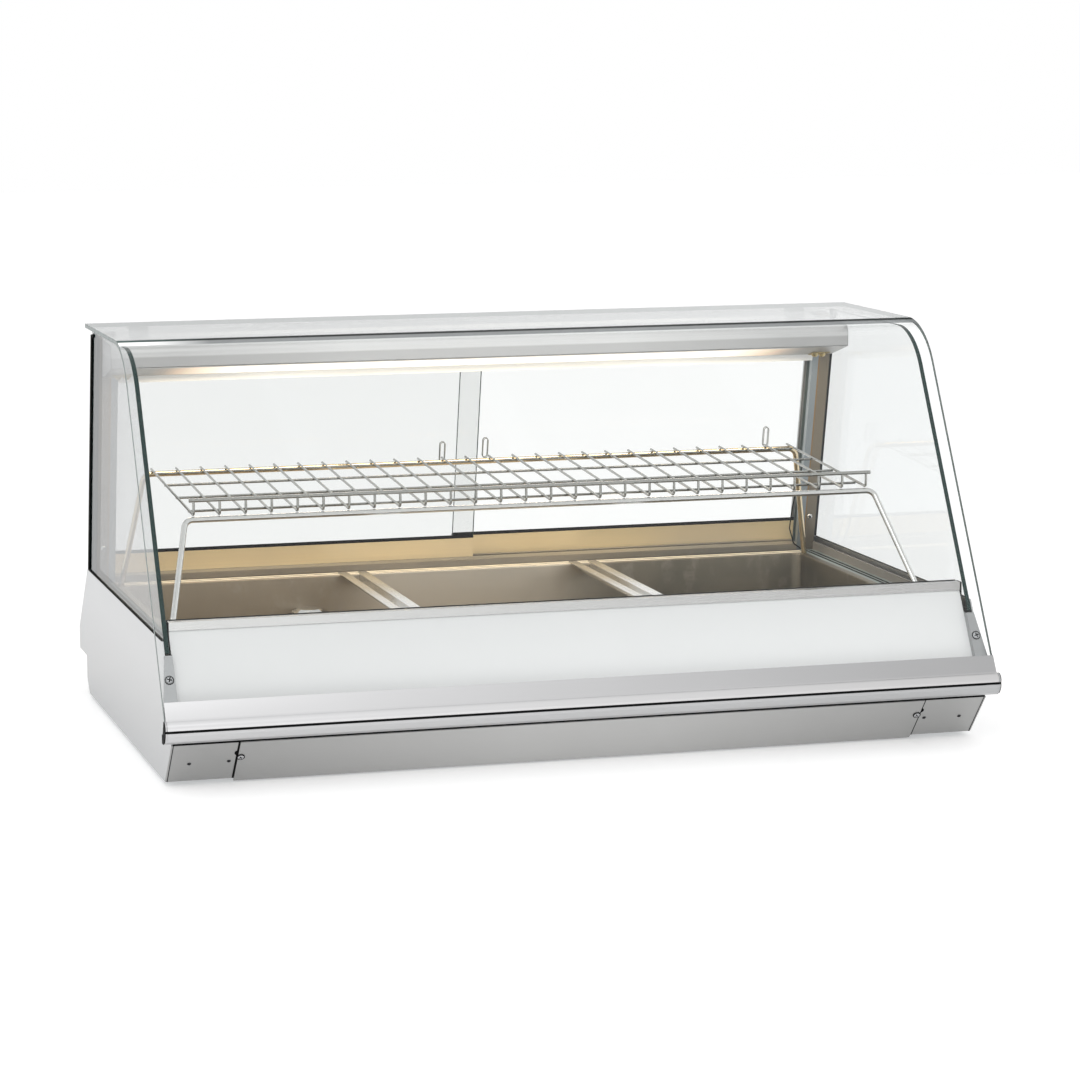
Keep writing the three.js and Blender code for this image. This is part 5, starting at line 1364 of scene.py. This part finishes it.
class DISPLAYCASE_OT_screws(bpy.types.Operator):
    """Makes the cross-head screws of the brackets, the plinth and the rear posts, and the plinth's rivets"""

    bl_idname = "display_case.screws"
    bl_label = "Screws and rivets"

    def execute(self, context):
        out_of_glass = np.array([0, -math.cos(GLASS_LEAN), math.sin(GLASS_LEAN)])
        # Name, place, axis, radius, height and turn of each screw.
        screws = []
        for end, side in (("left", -1), ("right", 1)):
            place = (side * 549.2, *glass_at(142.4, -9.2))
            screws.append((f"bracket_screw_{end}", place, out_of_glass, 5.1, 2.3, 15 * side))
        out_of_plinth = np.array([0, -57, -52]) / math.hypot(57, 52)
        for end, side in (("left", -1), ("right", 1)):
            low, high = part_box(f"plinth_screw_{end}")
            middle = (np.array(low) + np.array(high)) / 2 / MM
            screws.append((f"plinth_screw_{end}", middle - out_of_plinth * 1.2, out_of_plinth, 4.4, 1.3, 30))
        for name, place, axis, radius, height, turn in screws:
            piece = Piece(f"{name}_head", "screw", "recess")
            piece.add(*cross_head(place, axis, radius, height, turn))
            # A near-black ring of painted shade round each head.
            ring = [(radius - 0.6, -0.1), (radius + 0.9, -0.1), (radius + 0.9, 0.5), (radius - 0.6, 0.5)]
            piece.add(turned(ring, place, axis, 36), 1)
            piece.finish("case", "chrome", [name])
        posts = Piece("post_screws", "chrome", "recess")
        out_of_post = np.array([0, -math.cos(REAR_LEAN), -math.sin(REAR_LEAN)])
        for side in (-1, 1):
            for z in POST_SCREWS:
                posts.add(*cross_head((side * 534, *rear_at(z, -20)), out_of_post, 4.2, 2.0, z))
        posts.finish("case", "chrome")
        rivets = Piece("plinth_small_screws", "dark_screw", "recess")
        # A near-black disc of painted shadow in each of the plinth's notches.
        notch = filled([(5.2, -0.3), (5.2, 0.3)])
        for side in (-1, 1):
            for x, z in ((526, 33.1), (475, 33.9)):
                rivets.add(*cross_head((side * x, plinth_at(z), z), out_of_plinth, 2.7, 1.0, 30))
            rivets.add(turned(notch, (side * 464.5, plinth_at(46.5), 46.5), out_of_plinth, 24), 1)
        rivets.finish("case", "chrome")
        return {"FINISHED"}


class DISPLAYCASE_OT_rear(bpy.types.Operator):
    """Finishes the header, the track, the posts and the covers of the rear wall, and makes the lamps' wire"""

    bl_idname = "display_case.rear"
    bl_label = "Rear wall"

    def execute(self, context):
        dress("header", "door_header")
        dress("track", "door_track_lower")
        dress("post", "rear_post_left", "rear_post_right")
        dress("pad", "glass_rest_left", "glass_rest_right")
        dress("panel_steel", "rear_control_panel")
        dress("galvanised", "rear_lower_cover")
        wire = Piece("lamp_wire", "seal")
        corners = [
            (516.2, *rear_at(300, -17)), (504, *rear_at(236, -21.4)), (502.5, *rear_at(204, -21.6)),
            (511, *rear_at(180, -21.6)), (523, *rear_at(171.4, -21.6)),
        ]
        wire.add(tube(bent(corners, 9, 6), 0.9, 10))
        wire.finish("case", "rubber")
        return {"FINISHED"}


class DISPLAYCASE_OT_controls(bpy.types.Operator):
    """Makes the knob, the marks and lights round it and the switches, and the panel's screws and vents"""

    bl_idname = "display_case.controls"
    bl_label = "Operator's controls"

    def execute(self, context):
        dress("plastic", "thermostat", "heat_switch", "lamp_switch")
        knob = Piece("thermostat_knob_cap", "plastic", "mark")
        ribs = 1 - 0.018 * (np.arange(96) % 2)
        skirt = filled([(21.4, 1), (22, 1.6), (22, 3.4), (21.2, 5), (19.3, 8.4), (18.4, 9)])
        points, faces = turned(skirt, (KNOB_X, 0, 0), sides=96)
        rings = points.reshape(-1, 96, 3)
        rings[2:5, :, :2] = (KNOB_X, 0) + (rings[2:5, :, :2] - (KNOB_X, 0)) * ribs[None, :, None]
        knob.add(sloping((rings.reshape(-1, 3), faces)))
        grip = stadium((KNOB_X, 0), 38.6, 6, 10)
        pointer = rectangle(KNOB_X - 0.7, 5, KNOB_X + 0.7, 18.4)
        for outline, low, high, pick in (
            (grip, 8.5, 18.4, 0), (offset(grip, -0.7), 18.4, 19, 0), (pointer, 18.9, 19.15, 1),
        ):
            knob.add(sloping(prism(outline, low, high, "xy")), pick)
        knob.finish("knob", "black_plastic", ["thermostat_knob"])

        # Ticks that widen towards the hot end, each switch's frame and light, and a sign under each switch.
        marks = Piece("panel_marks", "recess", "plastic", "amber", "green")
        for i in range(11):
            tick = spoke((KNOB_X, 0), 90 - 27 * i, 25.5, 31 if i % 5 else 34, 0.5 + 0.12 * i)
            marks.add(sloping(prism(tick, 0, 0.2, "xy")))
        for x in SWITCH_X.values():
            outer = rounded(rectangle(x - 13, -17, x + 13, 17), 2.5, 4)
            inner = rounded(rectangle(x - 10.4, -13.6, x + 10.4, 13.6), 0.5, 4)
            marks.add(sloping(collar(outer, inner, 0, 1.2)), 1)
        bezel = filled([(5.6, 0), (5.6, 0.9), (4.6, 1.2)])
        lens = [(0.1, 1), (4, 1), (3.8, 2.2), (2.8, 3.2), (1.4, 3.8), (0.1, 4)]
        for pick, x in enumerate(SWITCH_X.values(), 2):
            marks.add(sloping(turned(bezel, (x, 31, 0), sides=32)), 1)
            marks.add(sloping(turned(lens, (x, 31, 0), sides=32)), pick)
        for i in range(3):
            wave = stadium((SWITCH_X["heat"] - 6 + 6 * i, -27), 9, 1.6)
            wave[:, 0] += np.sin((wave[:, 1] + 27) * 0.9) * 0.8
            marks.add(sloping(prism(wave, 0, 0.2, "xy")))
        middle = (SWITCH_X["lamp"], -26)
        bulb = arc(middle, 3.4, -60, 240, 24)
        marks.add(sloping(collar(offset(bulb, 0.5), offset(bulb, -0.5), 0, 0.2)))
        for angle in (20, 90, 160):
            marks.add(sloping(prism(spoke(middle, angle, 4.8, 7, 0.5), 0, 0.2, "xy")))
        marks.finish("case", "black_plastic")

        for name, x in SWITCH_X.items():
            keys = Piece(f"{name}_switch_marks", "mark")
            ring = stadium((x, 7), 5.4, 5.3)
            keys.add(self.on_rocker(collar(offset(ring, 0.4), offset(ring, -0.4), -0.1, 0.15), -1))
            keys.add(self.on_rocker(prism(rectangle(x - 0.5, 4.2, x + 0.5, 9.8), -0.1, 0.15, "xy"), 1))
            keys.finish(f"{name}_rocker", "black_plastic")
        screws = Piece("panel_screws", "screw", "recess")
        axis = (0, math.sin(SLOPE_LEAN), math.cos(SLOPE_LEAN))
        for x in PANEL_SCREWS:
            for y in (-46, 46):
                place = sloping((np.array([[x, y, 0.0]]), []))[0][0]
                screws.add(*cross_head(place, axis, 4.0, 1.8, x))
        screws.finish("case", "chrome")
        # The vents are thin near-black slots of painted shade laid on the panel.
        vents = Piece("panel_vents", "recess", "panel_steel")
        for side in (-1, 1):
            for i in range(12):
                vents.add(prism(stadium((side * (330 + 14 * i), 74), 20, 4.4), 388.9, 389.0, "xz"))
        vents.finish("case", "black_plastic")
        return {"FINISHED"}

    def on_rocker(self, surface, half):
        """Marks drawn as (x, distance from the rocker's middle, height), laid on its upper or lower half."""
        points, faces = surface
        x, s, h = np.asarray(points, float).T
        tilt = math.radians(9)
        bow = math.atan2(2.06, 12.84)
        y = half * (s * math.cos(bow) - h * math.sin(bow))
        z = s * math.sin(bow) + h * math.cos(bow) - 0.06
        turned_y = y * math.cos(tilt) - z * math.sin(tilt)
        turned_z = y * math.sin(tilt) + z * math.cos(tilt)
        return sloping((np.stack([x, turned_y, turned_z], axis=1), faces))


class DISPLAYCASE_OT_services(bpy.types.Operator):
    """Makes the tap, the cord inlet, the feet and the blank plate, and finishes what lies under the well"""

    bl_idname = "display_case.services"
    bl_label = "Services and feet"

    def execute(self, context):
        dress("brass", "drain_outlet")
        dress("heater", "heating_element")
        dress("galvanised", "terminal_box")
        tap_x, tap_y = TAP
        tap = Piece("drain_tap_body", "brass")
        barrel = filled([
            (10.4, 0), (10.4, 3), (9, 3.6), (9, 9), (10.6, 10), (11, 12), (11, 30), (10.4, 32), (8.6, 33),
            (8.6, 35), (9.4, 35.6), (8.6, 36.2), (9.4, 36.8), (8.6, 37.4), (9.4, 38), (8.6, 38.6), (9.2, 44),
            (7, 44), (7, 36),
        ])
        tap.add(turned(barrel, (tap_x, tap_y - 22, 36), (0, 1, 0)))
        tap.add(turned(filled([(6, 0), (6, 12), (5.2, 13)]), (tap_x, tap_y, 36), sides=6))
        tap.finish("case", "brass", ["drain_tap"])
        lever = Piece("drain_tap_handle", "red_grip", "chrome")
        low = 49.3
        outline = np.concatenate([
            arc(TAP, 6, -60, 60, 12), [[tap_x - 2, tap_y + 3.8]],
            arc((tap_x - 36, tap_y), 4, 90, 270, 12), [[tap_x - 2, tap_y - 3.8]],
        ])
        lever.add(prism(outline, low, low + 3.4, "xy"))
        lever.add(turned(filled([(3.4, 3.4), (3.4, 3.8), (2.8, 4)]), (tap_x, tap_y, low), sides=6), 1)
        lever.finish("tap_lever", "rubber", ["drain_tap_lever"], bevel=0.5)

        inlet = Piece("cord_inlet", "plastic", "rubber")
        # Profile, depth, way along Y, sides and finish: the washer, the nut, the dome, the collar and the bush.
        for profile, y, way, sides, pick in (
            ([(5.2, 0), (13, 0), (13, 1.2), (12.4, 2), (5.2, 2)], 325.3, 1, 40, 0),
            ([(5.2, 2), (14, 2), (15, 3), (15, 6.2), (14, 7), (5.2, 7)], 325.3, 1, 6, 0),
            ([(5.2, 7), (10.8, 7), (10.8, 8.6), (9, 10.6), (7, 11), (5.2, 11)], 325, 1, 40, 0),
            ([(5.2, 0), (10.8, 0), (10.8, 9.4), (5.2, 9.4)], 323.2, -1, 40, 0),
            ([(3, -0.3), (5.2, -0.3), (5.2, 0.2), (3.4, 0.6), (3, 0.4)], 335.7, 1, 32, 1),
        ):
            inlet.add(turned(profile, (INLET[0], y, INLET[1]), (0, way, 0), sides), pick)
        inlet.finish("case", "black_plastic", ["power_inlet_gland"])
        pad = filled([(17.4, 6), (18, 5.2), (17, 0.8), (16.2, 0), (11, 0), (9.6, 1.6)])
        for row, y in (("front", -FOOT_PLACE[1]), ("rear", FOOT_PLACE[1])):
            for end, x in (("left", -FOOT_PLACE[0]), ("right", FOOT_PLACE[0])):
                foot = Piece(f"foot_{row}_{end}_pad", "rubber").add(turned(pad, (x, y, 0)))
                foot.finish("case", "rubber", [f"foot_{row}_{end}"])
        plate = Piece("blank_plate", "trim", "screw")
        plate.add(prism(rounded(rectangle(-60, 18, 30, 50), 3, 4), 325, 325.7, "xz"))
        for x in (-55, 25):
            for z in (23, 45):
                plate.add(turned([(0.1, 0), (1.9, 0), (1.4, 0.8), (0.1, 1)], (x, 325.6, z), (0, 1, 0), 16), 1)
        plate.finish("case", "aluminium")
        return {"FINISHED"}


class DISPLAYCASE_OT_stage(bpy.types.Operator):
    """Sets the camera, the pale floor, the white surround and the soft studio lamps"""

    bl_idname = "display_case.stage"
    bl_label = "Stage"

    def area_lamp(self, name, place, target, size, power, colour=(1, 1, 1)):
        lamp = bpy.data.lights.new(name, "AREA")
        lamp.shape = "RECTANGLE"
        lamp.size, lamp.size_y = size
        lamp.energy = power
        lamp.color = colour
        holder = linked(name, lamp)
        holder.location = place
        holder.rotation_euler = (Vector(target) - Vector(place)).to_track_quat("-Z", "Y").to_euler()

    def execute(self, context):
        scene = context.scene
        light = scene.display_case_light
        data = bpy.data.cameras.new("camera")
        data.lens = CAMERA_LENS
        data.sensor_width = 36
        data.clip_end = 100
        camera = linked("camera", data)
        camera.location = CAMERA_PLACE
        camera.rotation_euler = [math.radians(a) for a in CAMERA_TURN]
        scene.camera = camera
        scene.view_settings.view_transform = "Standard"

        coat = Coat("floor")
        cloud = coat.noise(900.0, 2.0)
        floor_paint = coat.done(coat.surface(
            Base_Color=coat.tint(cloud, (0.93, 0.93, 0.93), 0.004), Roughness=cloud * 0.05 + 0.7,
            Emission_Color=WHITE, Emission_Strength=light.floor_glow,
        ))
        mesh = bpy.data.meshes.new("floor")
        corners = placed(rectangle(-FLOOR_HALF, -FLOOR_HALF, FLOOR_HALF, FLOOR_HALF), "xy", 0)
        mesh.from_pydata(corners.tolist(), [], [(0, 1, 2, 3)])
        mesh.materials.append(floor_paint)
        floor = linked("floor", mesh)

        world = bpy.data.worlds.new("surround")
        world.use_nodes = True
        scene.world = world
        # What is seen straight, in a mirror or through glass is white; the rest gets the surround's light.
        tree = Tree(world.node_tree)
        seen = tree.node("ShaderNodeBackground", None, {"Color": WHITE, "Strength": 1})
        lit = tree.node("ShaderNodeBackground", None, {"Color": WHITE, "Strength": light.surround})
        straight, glossy, through = [
            tree.node("ShaderNodeLightPath", output=f"Is {kind} Ray")
            for kind in ("Camera", "Glossy", "Transmission")
        ]
        rays = {0: straight, 1: through + glossy}
        either = tree.node("ShaderNodeMath", {"operation": "ADD", "use_clamp": True}, rays)
        mix = tree.node("ShaderNodeMixShader", None, {0: either, 1: lit, 2: seen})
        tree.node("ShaderNodeOutputWorld", None, {"Surface": mix})

        for name, place, size, power in (
            ("key", (-1.6, -3.2, 3.4), (2.4, 1.6), light.key_power),
            ("left", (-3.6, -0.4, 1.6), (1.6, 1.6), light.fill_power),
            ("right", (3.4, -1.0, 1.8), (1.6, 1.6), light.fill_power),
        ):
            self.area_lamp(name, place, (0, 0, 0.2), size, power)
        for x in LAMPS:
            place = np.array([x, LAMP_LINE[0], LAMP_LINE[1] - 28]) * MM
            below = place - (0, 0, 1)
            self.area_lamp(f"canopy_{x}", place, below, (0.32, 0.05), light.lamp_glow, (1, 0.85, 0.65))
        return {"FINISHED"}


OPERATORS = (
    DISPLAYCASE_OT_glass,
    DISPLAYCASE_OT_doors,
    DISPLAYCASE_OT_well,
    DISPLAYCASE_OT_shelf,
    DISPLAYCASE_OT_canopy,
    DISPLAYCASE_OT_bumper,
    DISPLAYCASE_OT_front,
    DISPLAYCASE_OT_screws,
    DISPLAYCASE_OT_rear,
    DISPLAYCASE_OT_controls,
    DISPLAYCASE_OT_services,
    DISPLAYCASE_OT_stage,
)


class DISPLAYCASE_PT_panel(bpy.types.Panel):
    """Lists the steps that build the display case"""

    bl_idname = "DISPLAYCASE_PT_panel"
    bl_label = "Display case"
    bl_space_type = "VIEW_3D"
    bl_region_type = "UI"
    bl_category = "Display case"

    def draw(self, context):
        for operator in OPERATORS:
            self.layout.operator(operator.bl_idname)


GROUPS = {
    "display_case_sizes": DisplayCaseSizes,
    "display_case_colours": DisplayCaseColours,
    "display_case_light": DisplayCaseLight,
}
CLASSES = (*GROUPS.values(), *OPERATORS, DISPLAYCASE_PT_panel)


def register():
    for cls in CLASSES:
        bpy.utils.register_class(cls)
    for name, group in GROUPS.items():
        setattr(bpy.types.Scene, name, bpy.props.PointerProperty(type=group))


def unregister():
    for name in GROUPS:
        delattr(bpy.types.Scene, name)
    for cls in reversed(CLASSES):
        bpy.utils.unregister_class(cls)


def main():
    register()
    for operator in OPERATORS:
        group, name = operator.bl_idname.split(".")
        getattr(getattr(bpy.ops, group), name)()


if __name__ == "__main__":
    main()
